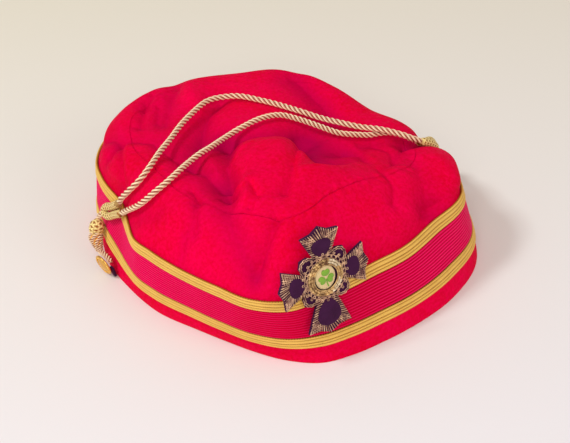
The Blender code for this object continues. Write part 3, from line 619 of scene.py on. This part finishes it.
def station(name, deg):
    """Value of one column at any angles: a smooth closed curve through the stations."""
    table = np.array(STATIONS, float)
    angle = table[:, 0]
    value = table[:, COLUMNS.index(name)]
    angle = np.concatenate([angle[-2:] - 360, angle, angle[:2] + 360])
    value = np.concatenate([value[-2:], value, value[:2]])
    slope = (value[2:] - value[:-2]) / (angle[2:] - angle[:-2])
    angle, value = angle[1:-1], value[1:-1]
    turn = np.mod(np.asarray(deg, float), 360.0)
    i = np.clip(np.searchsorted(angle, turn, side="right") - 1, 0, len(angle) - 2)
    span = angle[i + 1] - angle[i]
    t = (turn - angle[i]) / span
    return ((2 * t**3 - 3 * t**2 + 1) * value[i] + (t**3 - 2 * t**2 + t) * span * slope[i]
            + (3 * t**2 - 2 * t**3) * value[i + 1] + (t**3 - t**2) * span * slope[i + 1])


def from_pole(deg, radius, height):
    turn = np.radians(deg)
    x = POLE[0] + radius * np.sin(turn)
    y = POLE[1] - radius * np.cos(turn)
    return np.stack([x, y, height + 0 * turn], -1)


def band_point(deg, level):
    """Band cloth: level 0 is the rim, 1 the upper edge of the upper braid."""
    radius = ((1 - level) * station("rim", deg) + level * station("top", deg)
              + 4 * level * (1 - level) * station("bow", deg))
    return from_pole(deg, radius, level * station("top_z", deg))


def crown_point(deg, level):
    """Smooth crown: level 1 is the band's top, 2 mid side, 3 the seam, 5 the pole."""
    rim, top, top_z = station("rim", deg), station("top", deg), station("top_z", deg)
    seam, mid_z = station("seam", deg), station("mid_z", deg)
    far_seam, far_z = station("seam", deg + 180), station("mid_z", deg + 180)
    zero = 0 * deg
    radii = np.array([0.2 * rim + 0.8 * top, top, station("side", deg), seam, seam / 2,
                      zero, -far_seam / 2])
    heights = np.array([0.8 * top_z, top_z, station("side_z", deg), station("seam_z", deg),
                        mid_z, zero + POLE_HEIGHT, far_z])
    step = np.clip(np.floor(level - 1).astype(int), 0, 3)
    t = level - 1 - step
    weights = np.array([-t**3 + 2 * t**2 - t, 3 * t**3 - 5 * t**2 + 2,
                        -3 * t**3 + 4 * t**2 + t, t**3 - t**2]) / 2
    pick = np.arange(len(t))
    radius = sum(weights[k] * radii[step + k, pick] for k in range(4))
    height = sum(weights[k] * heights[step + k, pick] for k in range(4))
    return from_pole(deg, radius, height)


def fold_rise(points):
    """Height of the folds over the smooth crown, from the points' plan positions."""
    plan = points[:, :2]
    rise = np.zeros(len(plan))
    for row in FOLDS + CREASES:
        fold = dict(zip(FOLD_COLUMNS, row))
        path = np.array(fold["path"], float)
        nearest = np.full(len(plan), 1e9)
        side = np.zeros(len(plan))
        for start, end in zip(path, path[1:]):
            run = end - start
            along = np.clip((plan - start) @ run / (run @ run), 0, 1)
            off = plan - start - along[:, None] * run
            away = np.linalg.norm(off, axis=1)
            turn = run[0] * off[:, 1] - run[1] * off[:, 0]
            turn = turn / (np.linalg.norm(run) * (away + 1e-6))
            side = np.where(away < nearest, turn, side)
            nearest = np.minimum(away, nearest)
        reach = (fold["left"] + fold["right"]) / 2 + side * (fold["left"] - fold["right"]) / 2
        rise += fold["rise"] * np.exp(-(nearest / reach) ** fold["crisp"])
    return rise


def skin(deg, level, lift=0.0):
    """Point of the hat's outer face, lifted off it along its outward normal."""
    deg, level, lift = np.broadcast_arrays(np.asarray(deg, float), np.asarray(level, float), lift)

    def smooth(d, v):
        low = band_point(d, np.clip(v, 0, 1))
        high = crown_point(d, np.clip(v, 1, 5))
        return np.where((v <= 1)[:, None], low, high)

    base = smooth(deg, level)
    near = np.clip(level, 0.02, 4.95)
    around = smooth(deg + 0.5, near) - smooth(deg - 0.5, near)
    up = smooth(deg, near + 0.02) - smooth(deg, near - 0.02)
    normal = np.cross(around, up)
    normal /= np.linalg.norm(normal, axis=1)[:, None]
    on_crown = np.clip((level - 1.05) / 0.4, 0, 1)
    rise = lift + fold_rise(base) * on_crown
    return base + normal * rise[:, None]


def round_the_hat(name, columns, profile, mat, relief=None):
    """Closed strip round the hat. The profile is a loop of (up, lift, crest) rows: how far up
    the band from the rim, how far out of its face, and 0 in a groove to 1 on a crest."""
    loop = np.array(list(profile) + [profile[0]], float)

    def place(u, v):
        deg = 360 * u
        row = np.rint(v * len(profile)).astype(int)
        up, lift, crest = loop[row].T
        around = deg * math.pi / 180 * MEAN_RADIUS
        if relief:
            up, lift = relief(around, up, lift, crest)
        points = skin(deg, up / BAND_WIDTH, lift)
        points[:, 2] = np.where(up <= 0, 0.0, points[:, 2])
        return points, np.stack([around, up], -1), crest

    return rolled(name, columns, len(profile), place, mat)


def stretched(tree, value, gain):
    """The same value with its swings about a half made wider."""
    return plus(tree, times(tree, minus(tree, value, 0.5), gain), 0.5)


def red_plain_cloth():
    """Hot red, softly shining cloth in a fine plain weave, mottled pinker where it is worn, and
    given painted shade in dark crimson down in the folds."""
    mat, tree, shader = new_finish("red_cloth", 0.55, gloss=0.015)
    along, across = thread_axes(tree)
    weave = times(tree, threads(tree, along, 0.42), threads(tree, across, 0.42))
    patches = stretched(tree, clouding(tree, 34.0), 2.0)
    mottle = stretched(tree, clouding(tree, 600.0, 3.0), 2.8)
    even = blended(tree, patches, (0.84, 0.0, 0.017), (0.96, 0.0, 0.074))
    worn = blended(tree, mottle, (0.76, 0.0, 0.016), (0.98, 0.0, 0.086))
    cloth = blended(tree, 0.5, even, worn)
    # Painted shade: the crown cloth turns dark crimson down in its folds, as its crest falls.
    colour = blended(tree, crest_of(tree), (0.50, 0.0, 0.062), cloth)
    height = plus(tree, times(tree, weave, 0.12), clouding(tree, 150.0, 5.0))
    dress(tree, shader, colour, height, 0.0010)
    return mat


red_cloth = red_plain_cloth()
rim_turn = [(0.0, -0.55, 1), (0.15, -0.25, 1), (0.5, -0.05, 1), (1.0, 0.0, 1)]
hem = [(up, 0.25 * math.sin(math.pi * up / 7.5), 1) for up in (2, 3, 4, 5, 6, 7)]
face = [(up, 0.0, 1) for up in (8, 12, 16, 20, 24, 28, 32, 36, 38.2)]
back = [(up, -CLOTH_THICK, 1) for up in (38.2, 30, 20, 10, 1.0)]
turned_in = [(0.3, -1.6, 1), (0.0, -1.2, 1)]
band = round_the_hat("red_head_band", 480, rim_turn + hem + face + back + turned_in, red_cloth)
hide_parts("headband")

# ==== Corded ribbon =======================================================================
# A magenta silk ribbon woven over a dozen cords that run along it, laid flat round the band
# between the two braids and held by their stitching.
RIBBON_LOW = 17.55
RIBBON_HIGH = 35.25
RIBS = 12
RIB_SHARE = (0.0, 0.12, 0.3, 0.5, 0.7, 0.88)
TRIM_BACK = 0.35       # how far out of the band's face the backs of ribbon and braids lie


def ridged(low, ridges, shares, rounding, groove, height, edge):
    """Profile of ridges side by side, each a start and width up from low. They rise by height
    from the grooves between them; groove and edge are the lifts there and at the top edge."""
    rows = []
    for start, width in ridges:
        for share in shares:
            crest = math.sin(math.pi * share) ** rounding
            rows.append((low + start + width * share, groove + height * crest, crest))
    high = low + sum(ridges[-1])
    return rows + [(high, edge, 0), (high, TRIM_BACK, 0), (low, TRIM_BACK, 0)]


def ribbon_profile():
    width = (RIBBON_HIGH - RIBBON_LOW) / RIBS
    ribs = [(width * rib, width) for rib in range(RIBS)]
    return ridged(RIBBON_LOW, ribs, RIB_SHARE, 0.6, 0.70, 0.55, 0.75)


def magenta_silk():
    """Pink painted highlight on the ribs and red painted shade between them; the highlight is
    fainter across the front, where the light falls flat.
    """
    mat, tree, shader = new_finish("magenta_ribbon", 0.50, gloss=0.12, gloss_tint=(1.0, 0.1, 0.4))
    along, _ = thread_axes(tree)
    warp = threads(tree, along, 0.45)
    # Painted highlight: pink only near the top of each rib, with painted shade in red between
    # them.
    ribs = times(tree, maths(tree, "POWER", crest_of(tree), 4.0), 0.9)
    uneven = times(tree, clouding(tree, 60.0), 0.3)
    # The painted highlight fades across the front of the band, where the light falls flat.
    front = maths(tree, "COSINE", maths(tree, "DIVIDE", along, MEAN_RADIUS))
    front = maths(tree, "POWER", maths(tree, "MAXIMUM", front, 0.0), 6.0)
    level = minus(tree, plus(tree, ribs, times(tree, warp, 0.2)), uneven)
    level = minus(tree, level, times(tree, front, 0.45))
    colour = blended(tree, level, (0.62, 0.0, 0.028), (1.0, 0.008, 0.17))
    dress(tree, shader, colour, warp, 0.00008)
    return mat


ribbon = round_the_hat("corded_ribbon", 480, ribbon_profile(), magenta_silk())
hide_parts("ribbon")

# ==== Gold braids =========================================================================
# Two flat braids of gilt thread, plaited in four raised ridges with toothed edges, are sewn
# over the ribbon's edges.
BRAID_WIDTH = 6.4
RIM_MARGIN = 10.8
BRAID_RIDGES = ((0.0, 1.7), (1.7, 1.3), (3.0, 2.3), (5.3, 1.1))    # start and width, from below
BRAID_COLUMNS = 2106
STITCH = 0.85
TOOTH = 1.3
RIDGE_SHARE = (0.0, 0.10, 0.26, 0.5, 0.74, 0.90)


def braid_relief(start):
    """Slanting stitches on each ridge, leaning the other way on the next, and toothed edges."""
    starts = np.array([low for low, _ in BRAID_RIDGES])

    def relief(around, up, lift, crest):
        across = up - start
        ridge = np.searchsorted(starts, across, side="right") - 1
        lean = np.where(ridge % 2 == 0, 1.0, -1.0)
        phase = 2 * math.pi * (around / STITCH + lean * 0.25 * across)
        lift = lift + 0.12 * np.sin(phase) * crest
        edge = np.where(across < 0.02, -1.0, 0.0) + np.where(across > BRAID_WIDTH - 0.02, 1.0, 0.0)
        return up + edge * 0.32 * np.sin(2 * math.pi * around / TOOTH), lift

    return relief


def gilt_thread(name, light, dark):
    mat, tree, shader = new_finish(name, 0.45, gloss=0.35, gloss_tint=(1.0, 0.75, 0.35))
    along, across = thread_axes(tree)
    strands = threads(tree, plus(tree, along, times(tree, across, 0.37)), STITCH / 3)
    # Painted shade: darker down in the grooves between the ridges and between the stitches.
    level = plus(tree, times(tree, crest_of(tree), 0.9), times(tree, strands, 0.2))
    level = minus(tree, level, times(tree, clouding(tree, 110.0), 0.3))
    dress(tree, shader, blended(tree, level, dark, light), strands, 0.00008)
    return mat


braid_gold = gilt_thread("gold_braid", (1.0, 0.62, 0.14), (0.36, 0.12, 0.008))
for name, start in (("lower_braid", RIM_MARGIN), ("upper_braid", BAND_WIDTH - BRAID_WIDTH)):
    profile = ridged(start, BRAID_RIDGES, RIDGE_SHARE, 0.5, 0.85, 0.8, 0.8)
    gold = round_the_hat("gilt_" + name, BRAID_COLUMNS, profile, braid_gold,
                         relief=braid_relief(start))
    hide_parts(name)

# ==== Crown side ==========================================================================
# The soft wall of the crown, cut in one strip of the same red cloth and gathered a little
# into the band, so that it swells over the upper braid before it falls into folds.
SEAM_GAP = 0.002
SEAM_DIP = 0.07
WALL_FOOT = 38.7       # how far up from the rim the wall starts, behind the upper braid


def pucker(deg, away):
    """Small gathers that run out from the seam."""
    wave = (np.sin(np.radians(deg) * 61) + 0.7 * np.sin(np.radians(deg) * 37 + 1.3)
            + 0.6 * np.sin(np.radians(deg) * 23 + 0.4))
    return 0.16 * wave * np.exp(-((away - 0.06) / 0.10) ** 2)


def painted_fold_shade(points):
    """1 on open cloth, less down in the folds, where the cloth gets painted shade."""
    return np.clip(1 + fold_rise(points) / 9.0, 0.0, 1.0)


def crown_wall():
    low = WALL_FOOT / BAND_WIDTH
    outer = ([(level, 0.0) for level in np.linspace(low, 2.90, 64)]
             + [(2.94, 0.0), (2.97, 0.0), (2.985, -0.02), (3 - SEAM_GAP, -SEAM_DIP)])
    inner = [(level, -CLOTH_THICK) for level in np.linspace(3 - SEAM_GAP, low, 24)]
    loop = np.array(outer + inner + outer[:1])

    def place(u, v):
        deg = 360 * u
        row = np.rint(v * (len(loop) - 1)).astype(int)
        level, lift = loop[row].T
        outside = row < len(outer)
        lift = lift + np.where(outside, pucker(deg, 3 - level), 0.0)
        points = skin(deg, level, lift)
        thread = np.stack([deg * math.pi / 180 * 85.0, level * 22.0], -1)
        return points, thread, painted_fold_shade(points)

    return rolled("crown_wall", 640, len(loop) - 1, place, red_cloth)


wall = crown_wall()
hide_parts("crown_side")

# ==== Crown top ===========================================================================
# The round tip of the crown, let into the side wall with a narrow turned seam. It has no
# stiffening and lies crumpled where it fell.
TOP_GRID = 190


def crown_tip():
    def place(u, v):
        a, b = 2 * u - 1, 2 * v - 1
        x, y = a * np.sqrt(1 - b**2 / 2), b * np.sqrt(1 - a**2 / 2)
        deg, out = np.degrees(np.arctan2(x, -y)), np.hypot(x, y)
        inset = 1 - out
        ease = np.clip(inset / 0.06, 0, 1)
        inset = inset * (0.3 + 0.7 * ease * ease * (3 - 2 * ease))
        level = 5.0 - (1 - inset) * (2.0 - SEAM_GAP)
        lift = -SEAM_DIP * np.clip(1 - inset / 0.008, 0, 1) ** 2 + pucker(deg, level - 3)
        points = skin(deg, level, lift)
        return points, np.stack([x, y], -1) * 70.0, painted_fold_shade(points)

    tip = rolled("crown_tip", TOP_GRID, TOP_GRID, place, red_cloth)
    thick = tip.modifiers.new("thickness", "SOLIDIFY")
    thick.thickness = 1.6 * MM
    thick.offset = -1.0
    return tip


tip = crown_tip()
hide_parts("crown_top")

# ==== Badge: ground =======================================================================
# A flared cross about 50 mm high, cut from stiffened dark cloth and sewn to the front over
# the trimming. Each arm ends in three points, and a small round lobe fills each corner.
BADGE_MIDDLE = (-1.9, -81.5, 48.6)
BADGE_TURN = math.radians(19.4)
BADGE_LEAN = math.radians(14.0)
BADGE_THICK = 1.4
ARM_ROOT = 10.8
ROOT_SHARE = 0.42      # an arm's width at its root, as a share of its width at the corners
ARM_COLUMNS = ("name", "deg", "corner", "point", "half_width", "pad_near", "pad_far", "pad_wide")
ARMS = [dict(zip(ARM_COLUMNS, row)) for row in (
    ("right", 0, 22.4, 25.0, 10.4, 10.6, 19.6, 6.0),
    ("top", 90, 23.0, 26.6, 10.4, 11.0, 20.4, 6.2),
    ("left", 180, 22.4, 25.0, 10.4, 10.6, 19.6, 6.0),
    ("bottom", 270, 27.6, 30.6, 12.0, 11.4, 26.2, 7.4),
)]
LOBE_REACH = 17.0
LOBE_HALF_ANGLE = 13.0


def badge_frame():
    """Badge coordinates to the hat's: across to +X, up the badge, and out from its back."""
    right = Vector((math.cos(BADGE_TURN), math.sin(BADGE_TURN), 0))
    ahead = Vector((math.sin(BADGE_TURN), -math.cos(BADGE_TURN), 0))
    out = ahead * math.cos(BADGE_LEAN) + Vector((0, 0, math.sin(BADGE_LEAN)))
    up = Vector((0, 0, math.cos(BADGE_LEAN))) - ahead * math.sin(BADGE_LEAN)
    turn = Matrix((right, up, out)).transposed().to_4x4()
    return Matrix.Translation(Vector(BADGE_MIDDLE) * MM) @ turn @ Matrix.Scale(MM, 4)


BADGE_FRAME = badge_frame()


def polar(deg, radius):
    return radius * math.cos(math.radians(deg)), radius * math.sin(math.radians(deg))


def arm_point(deg, along, sideways):
    turn = math.radians(deg)
    return (along * math.cos(turn) - sideways * math.sin(turn),
            along * math.sin(turn) + sideways * math.cos(turn))


def on_badge(name, bm, mat, smooth=True):
    """Finish a piece modelled flat in badge coordinates and set it on the badge."""
    bmesh.ops.recalc_face_normals(bm, faces=bm.faces)
    bmesh.ops.transform(bm, verts=bm.verts, matrix=BADGE_FRAME)
    return placed(name, to_mesh(name, bm), mat, smooth)


def raised(bm, faces, height):
    """Extrude flat faces towards the front. Returns the new front faces."""
    grown = bmesh.ops.extrude_face_region(bm, geom=faces)["geom"]
    top = [v for v in grown if isinstance(v, bmesh.types.BMVert)]
    bmesh.ops.translate(bm, verts=top, vec=(0, 0, height))
    return [f for f in grown if isinstance(f, bmesh.types.BMFace)]


def split_wide_faces(bm):
    bmesh.ops.triangulate(bm, faces=[f for f in bm.faces if len(f.verts) > 4])


def slab(outline, back, front, soften, dome=0.0):
    """Flat piece with a softened front edge; dome lifts its middle."""
    bm = bmesh.new()
    face = bm.faces.new([bm.verts.new((x, y, back)) for x, y in outline])
    lid = raised(bm, [face], front - back)
    bmesh.ops.recalc_face_normals(bm, faces=bm.faces)
    bmesh.ops.inset_region(bm, faces=lid, thickness=soften, depth=0.35 * soften)
    if dome:
        bmesh.ops.inset_region(bm, faces=lid, thickness=1.6 * soften, depth=dome)
    split_wide_faces(bm)
    return bm


def notch_of(arm):
    """How far along an arm the notches between its three points lie."""
    return (arm["corner"] + arm["point"]) / 2 - 1.0


def cross_outline():
    points = []
    for arm in ARMS:
        wide = arm["half_width"]
        side = ((ARM_ROOT, ROOT_SHARE * wide), (arm["corner"], wide),
                (notch_of(arm), 0.45 * wide))
        for along, out in side:
            points.append(arm_point(arm["deg"], along, -out))
        points.append(arm_point(arm["deg"], arm["point"], 0.0))
        for along, out in reversed(side):
            points.append(arm_point(arm["deg"], along, out))
        for turn in (-LOBE_HALF_ANGLE, 0, LOBE_HALF_ANGLE):
            reach = LOBE_REACH if turn == 0 else LOBE_REACH - 1.8
            points.append(polar(arm["deg"] + 45 + turn, reach))
    return points


ground = on_badge("badge_cloth_ground", slab(cross_outline(), 0.0, BADGE_THICK - 0.2, 0.35),
                  velvet, smooth=False)
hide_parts("badge_ground")

# ==== Badge: bullion edging ===============================================================
# Short lengths of stiff coiled wire, laid side by side and slanting towards each point of
# the arms like the barbs of a feather, and sewn down through their hollow middles.
WIRE_RADIUS = 0.30
WIRE_SPACING = 1.3
WIRE_REACH = 6.6
WIRE_SLANT = math.radians(58)
WIRE_LEVEL = BADGE_THICK + 0.25


def coil_length():
    """One length of coiled wire from z = 0 to 1, as a mesh that each wire copies."""
    bm = bmesh.new()
    rings = [(0.0, 0.35), (0.04, 0.85), (0.2, 1.0), (0.4, 0.93), (0.6, 1.0), (0.8, 0.93),
             (0.95, 0.8), (1.0, 0.35)]
    loops = [bmesh.ops.create_circle(bm, segments=8, radius=r,
                                     matrix=Matrix.Translation((0, 0, z))) for z, r in rings]
    edges = [{e for v in loop["verts"] for e in v.link_edges} for loop in loops]
    for low, high in zip(edges, edges[1:]):
        bmesh.ops.bridge_loops(bm, edges=list(low | high))
    for loop in (loops[0], loops[-1]):
        bmesh.ops.contextual_create(bm, geom=loop["verts"])
    return to_mesh("coil_length", bm)


COIL_LENGTH = coil_length()


def lay_wire(bm, start, end, radius, mat_index=0):
    """Copy one coiled wire into bm, from start to end in badge coordinates."""
    count = len(bm.verts)
    faces = len(bm.faces)
    bm.from_mesh(COIL_LENGTH)
    bm.verts.ensure_lookup_table()
    bm.faces.ensure_lookup_table()
    run = Vector(end) - Vector(start)
    turn = run.to_track_quat("Z", "Y").to_matrix().to_4x4()
    size = Matrix.Diagonal((radius, radius, run.length, 1))
    bmesh.ops.transform(bm, verts=bm.verts[count:], matrix=Matrix.Translation(start) @ turn @ size)
    for face in bm.faces[faces:]:
        face.material_index = mat_index


def inside(point, outline):
    """Whether a plan point lies in an outline."""
    x, y = point
    hit = False
    for (x1, y1), (x2, y2) in zip(outline, outline[1:] + outline[:1]):
        if (y1 > y) != (y2 > y) and x < (x2 - x1) * (y - y1) / (y2 - y1) + x1:
            hit = not hit
    return hit


def pad_outline(arm):
    """Egg shape, narrow towards the ring."""
    near, far, wide = arm["pad_near"], arm["pad_far"], 0.85 * arm["pad_wide"]
    outline = []
    for turn in np.linspace(0, math.tau, 20, endpoint=False):
        along = (near + far) / 2 - (far - near) / 2 * math.cos(turn)
        outline.append(arm_point(arm["deg"], along,
                                 wide * math.sin(turn) * (1 - 0.32 * math.cos(turn))))
    return outline


def barb(bm, tip, slant, pad, cross, shade):
    """One wire from the edge of an arm inwards against slant, as far as the velvet pad."""
    length = 0.8
    while length < WIRE_REACH and not inside((tip - slant * length).to_2d(), pad):
        length += 0.2
    if inside((tip - slant * 0.7).to_2d(), cross):
        foot = tip - slant * length
        lay_wire(bm, (foot.x, foot.y, WIRE_LEVEL + 0.15), (tip.x, tip.y, WIRE_LEVEL), WIRE_RADIUS,
                 shade)


def bullion_edging():
    """Along each arm's sides the wires slant outwards; across its end they fan out."""
    bm = bmesh.new()
    cross = cross_outline()
    for arm in ARMS:
        wide, deg = arm["half_width"], arm["deg"]
        pad = pad_outline(arm)
        ahead = Vector((*arm_point(deg, 1, 0), 0))
        for sign in (-1, 1):
            root = Vector((*arm_point(deg, ARM_ROOT - 1.0, sign * ROOT_SHARE * wide), 0))
            corner = Vector((*arm_point(deg, arm["corner"], sign * wide), 0))
            edge = corner - root
            outward = sign * Vector((-edge.y, edge.x, 0)).normalized()
            slant = edge.normalized() * math.cos(WIRE_SLANT) + outward * math.sin(WIRE_SLANT)
            for k in range(round(edge.length / WIRE_SPACING)):
                tip = root + edge.normalized() * (k + 0.6) * WIRE_SPACING
                barb(bm, tip, slant.normalized(), pad, cross, k % 3 // 2)
        count = round(2 * wide / WIRE_SPACING)
        for k in range(count + 1):
            off = (2 * k / count - 1) * 0.98
            along = np.interp(abs(off), (0, 0.45, 1), (arm["point"], notch_of(arm), arm["corner"]))
            tip = Vector((*arm_point(deg, along, off * wide), 0))
            slant = ahead + Vector((*arm_point(deg, 0, 0.8 * off + 0.25), 0))
            barb(bm, tip, slant.normalized(), pad, cross, k % 3 // 2)
    return bm


def bullion(name, light, dark):
    """Tarnished coiled wire, wound so finely that the turns show as thin dark lines."""
    mat, tree, shader = new_finish(name, 0.34, 0.35)
    level = stretched(tree, clouding(tree, 420.0), 2.6)
    turns = clouding(tree, 3200.0, 1.0)
    dress(tree, shader, blended(tree, level, dark, light), turns, 0.00015)
    return mat


copper_wire = bullion("copper_bullion", (0.90, 0.56, 0.34), (0.18, 0.06, 0.055))
dull_wire = bullion("dull_bullion", (0.55, 0.28, 0.18), (0.09, 0.025, 0.04))
edging = on_badge("badge_bullion_edging", bullion_edging(), copper_wire)
edging.data.materials.append(dull_wire)

# ==== Badge: velvet pads and scrolls ======================================================
# A cushion of dark violet velvet fills each arm inside the edging. Fine copper wire scrolls
# edge the round lobes and loop all round the ring.
SCROLL_STEP = 0.35
LOOPS = 24
LOOP_POINTS = 12
LOOP_ROWS = ((10.6, 0.9, 0.0), (12.0, 0.8, 1.6))       # radius, reach and phase of the loops

for arm in ARMS:
    pad = on_badge("velvet_pad_" + arm["name"],
                   slab(pad_outline(arm), BADGE_THICK - 0.1, BADGE_THICK + 0.5, 0.5, dome=0.25),
                   velvet)
    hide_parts("badge_pad_" + arm["name"])


def scrolled(name, route, diameter, mat):
    """Thin wire along a route in badge coordinates."""
    def shape(u, angle, length):
        return np.full(len(u), diameter / 2), angle, angle / math.tau, np.ones(len(u))

    wire, _ = tube(name, route, SCROLL_STEP, 6, shape, mat)
    wire.data.transform(BADGE_FRAME @ Matrix.Scale(1 / MM, 4))
    return wire


scroll_parts = []
for row_out, row_reach, phase in LOOP_ROWS:
    looped = []
    for i in range(LOOPS * LOOP_POINTS + 1):
        turn = math.tau * i / (LOOPS * LOOP_POINTS)
        out = row_out + row_reach * math.sin(LOOPS * turn + phase)
        shift = 0.10 * math.cos(LOOPS * turn + phase)
        looped.append((out * math.cos(turn + shift), out * math.sin(turn + shift),
                       BADGE_THICK + 0.75 + 0.2 * math.cos(LOOPS * turn)))
    scroll_parts.append(scrolled("loop_row", looped, 0.5, copper_wire))
for arm in ARMS:
    middle = arm["deg"] + 45
    for spread in (0.0, 0.9):
        rim = [(*polar(middle + (22 - 3 * spread) * math.sin(t),
                       12.6 - spread + 3.7 * math.cos(t) ** 2 + 0.22 * math.sin(16 * t)),
                BADGE_THICK + 0.3) for t in np.linspace(-1.35, 1.35, 41)]
        scroll_parts.append(scrolled("lobe_rim", rim, 0.42, copper_wire))
joined("badge_scrolls", scroll_parts)

# ==== Badge: ring, medallion and sprig ====================================================
# A padded ring wrapped in gold and cream purl surrounds a low oval cushion of cream silk in
# satin stitch, with a three-leaf sprig and its stem worked on it in green silk.
RING_RADIUS = 8.3
PURL_ROWS = ((0.65, 30), (-0.65, 24))     # out from the ring's radius, and pieces in the row
PURL_RADIUS = 0.66
CREAM = ((40, 22), (310, 25))             # middle and half width of each cream stretch, degrees
INNER_RADIUS = 6.7
MEDALLION = (5.5, 6.3)
LEAVES = (90, 205, 335)
LEAF_RADIUS = 2.1


def purl_ring():
    """Short lengths of purl laid end to end in two rows, with cream ones here and there."""
    bm = bmesh.new()
    lift = BADGE_THICK + 1.2
    for out, count in PURL_ROWS:
        for i in range(count):
            turn = 360 * i / count
            low = polar(turn, RING_RADIUS + out)
            high = polar(turn + 345 / count, RING_RADIUS + out + 0.25)
            cream = any(abs(turn - middle) < half for middle, half in CREAM)
            lay_wire(bm, (*low, lift), (*high, lift), PURL_RADIUS, int(cream))
    return bm


purl_gold = bullion("gold_purl", (0.92, 0.60, 0.24), (0.15, 0.055, 0.02))
purl_cream = bullion("cream_purl", (0.98, 0.84, 0.58), (0.42, 0.26, 0.12))
ring = on_badge("badge_purl_ring", purl_ring(), purl_gold)
ring.data.materials.append(purl_cream)
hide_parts("badge_ring")
inner = [(*polar(360 * i / 60, INNER_RADIUS), BADGE_THICK + 1.5) for i in range(61)]
scrolled("badge_inner_wire", inner, 0.8, purl_gold)


def stitched_silk(name, light, dark, spacing):
    """Silk in satin stitch: fine parallel threads with a soft shine, and painted shade between
    them.
    """
    mat, tree, shader = new_finish(name, 0.45, sheen=0.2)
    parts = add_node(tree, "ShaderNodeSeparateXYZ", {0: where_on_piece(tree)})
    slant = plus(tree, parts.outputs[0], times(tree, parts.outputs[2], 0.6))
    thread = threads(tree, slant, spacing * MM)
    # Painted shade: darker between the threads, paler on them.
    level = minus(tree, thread, times(tree, clouding(tree, 300.0), 0.4))
    dress(tree, shader, blended(tree, level, dark, light), thread, 0.0001)
    return mat


def medallion():
    """Oval cushion, its edge rounded over in short steps."""
    bm = bmesh.new()
    bmesh.ops.create_circle(bm, segments=48, radius=1.0, cap_ends=True)
    bmesh.ops.scale(bm, verts=bm.verts, vec=(*MEDALLION, 1))
    lid = raised(bm, bm.faces[:], 0.5)
    bmesh.ops.recalc_face_normals(bm, faces=bm.faces)
    for thickness, depth in ((0.3, 0.25), (0.6, 0.22), (1.2, 0.2), (1.6, 0.08)):
        bmesh.ops.inset_region(bm, faces=lid, thickness=thickness, depth=depth)
    bmesh.ops.translate(bm, verts=bm.verts, vec=(0, 0, BADGE_THICK + 0.35))
    return bm


oval_silk = on_badge("badge_silk_oval", medallion(),
                     stitched_silk("cream_silk", (0.93, 0.73, 0.38), (0.66, 0.44, 0.20), 0.35))
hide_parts("badge_medallion")


def sprig():
    """Three notched leaves and a short curved stem."""
    bm = bmesh.new()
    back = BADGE_THICK + 1.35
    for leaf in LEAVES:
        outline = []
        for turn in range(0, 360, 20):
            notch = 1.0 - 0.42 * math.exp(-((turn - 180) / 26) ** 2)
            point = 1.0 - 0.10 * math.cos(math.radians(2 * turn))
            dx, dy = polar(leaf + turn + 180, LEAF_RADIUS * notch * point)
            cx, cy = polar(leaf, LEAF_RADIUS * 1.25)
            outline.append((cx + dx, cy + dy + 0.4))
        face = bm.faces.new([bm.verts.new((x, y, back)) for x, y in outline])
        lid = raised(bm, [face], 0.4)
        bmesh.ops.inset_region(bm, faces=lid, thickness=0.35, depth=0.25)
        bmesh.ops.inset_region(bm, faces=lid, thickness=0.5, depth=0.1)
    split_wide_faces(bm)
    for k in range(5):
        x1, x2 = 0.1 * k * k * 0.35, 0.1 * (k + 1) ** 2 * 0.35
        lay_wire(bm, (x1, -0.4 - 0.85 * k, back + 0.3), (x2, -1.4 - 0.85 * k, back + 0.3), 0.36)
    return bm


green = on_badge("badge_green_sprig", sprig(),
                 stitched_silk("green_silk", (0.30, 0.58, 0.03), (0.05, 0.15, 0.006), 0.55))
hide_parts("badge_sprig")

# ==== Table and light =====================================================================
# A plain pale table, a little yellower towards its back, under soft studio light from the
# upper left and the front, with a pale fill all round.
TABLE_FRONT = (0.825, 0.765, 0.765)
TABLE_BACK = (0.755, 0.665, 0.49)
FILL = (1.0, 0.96, 0.94)

bm = bmesh.new()
bmesh.ops.create_grid(bm, x_segments=1, y_segments=1, size=3.0)
floor = bpy.data.objects.new("table", to_mesh("table", bm))
bpy.context.collection.objects.link(floor)
pale, tree, shader = new_finish("pale_table", 0.8, gloss=0.2)
depth = add_node(tree, "ShaderNodeSeparateXYZ", {0: where_on_piece(tree)}).outputs[1]
shade = add_node(tree, "ShaderNodeClamp", {0: times(tree, plus(tree, depth, 0.15), 1.6)})
colour = blended(tree, shade.outputs[0], TABLE_FRONT, TABLE_BACK)
tree.links.new(colour, shader.inputs["Base Color"])
floor.data.materials.append(pale)

for name, place, size, power, colour in (
        ("key", (-1.35, -0.14, 1.75), 0.42, 21.5, (0.85, 0.97, 1.0)),
        ("front", (-0.60, -1.90, 1.65), 1.1, 24.0, FILL),
        ("side", (1.40, -1.60, 1.50), 1.1, 8.0, FILL)):
    lamp = bpy.data.objects.new(name, bpy.data.lights.new(name, "AREA"))
    bpy.context.collection.objects.link(lamp)
    lamp.location = place
    aim = Vector(place) - Vector((0, 0, 0.03))
    lamp.rotation_euler = aim.to_track_quat("Z", "Y").to_euler()
    lamp.data.size = size
    lamp.data.energy = power
    lamp.data.color = colour

world = bpy.data.worlds.new("studio")
world.use_nodes = True
world.node_tree.nodes["Background"].inputs[0].default_value = (*FILL, 1)
world.node_tree.nodes["Background"].inputs[1].default_value = 0.475
bpy.context.scene.world = world
bpy.context.scene.view_settings.view_transform = "Standard"
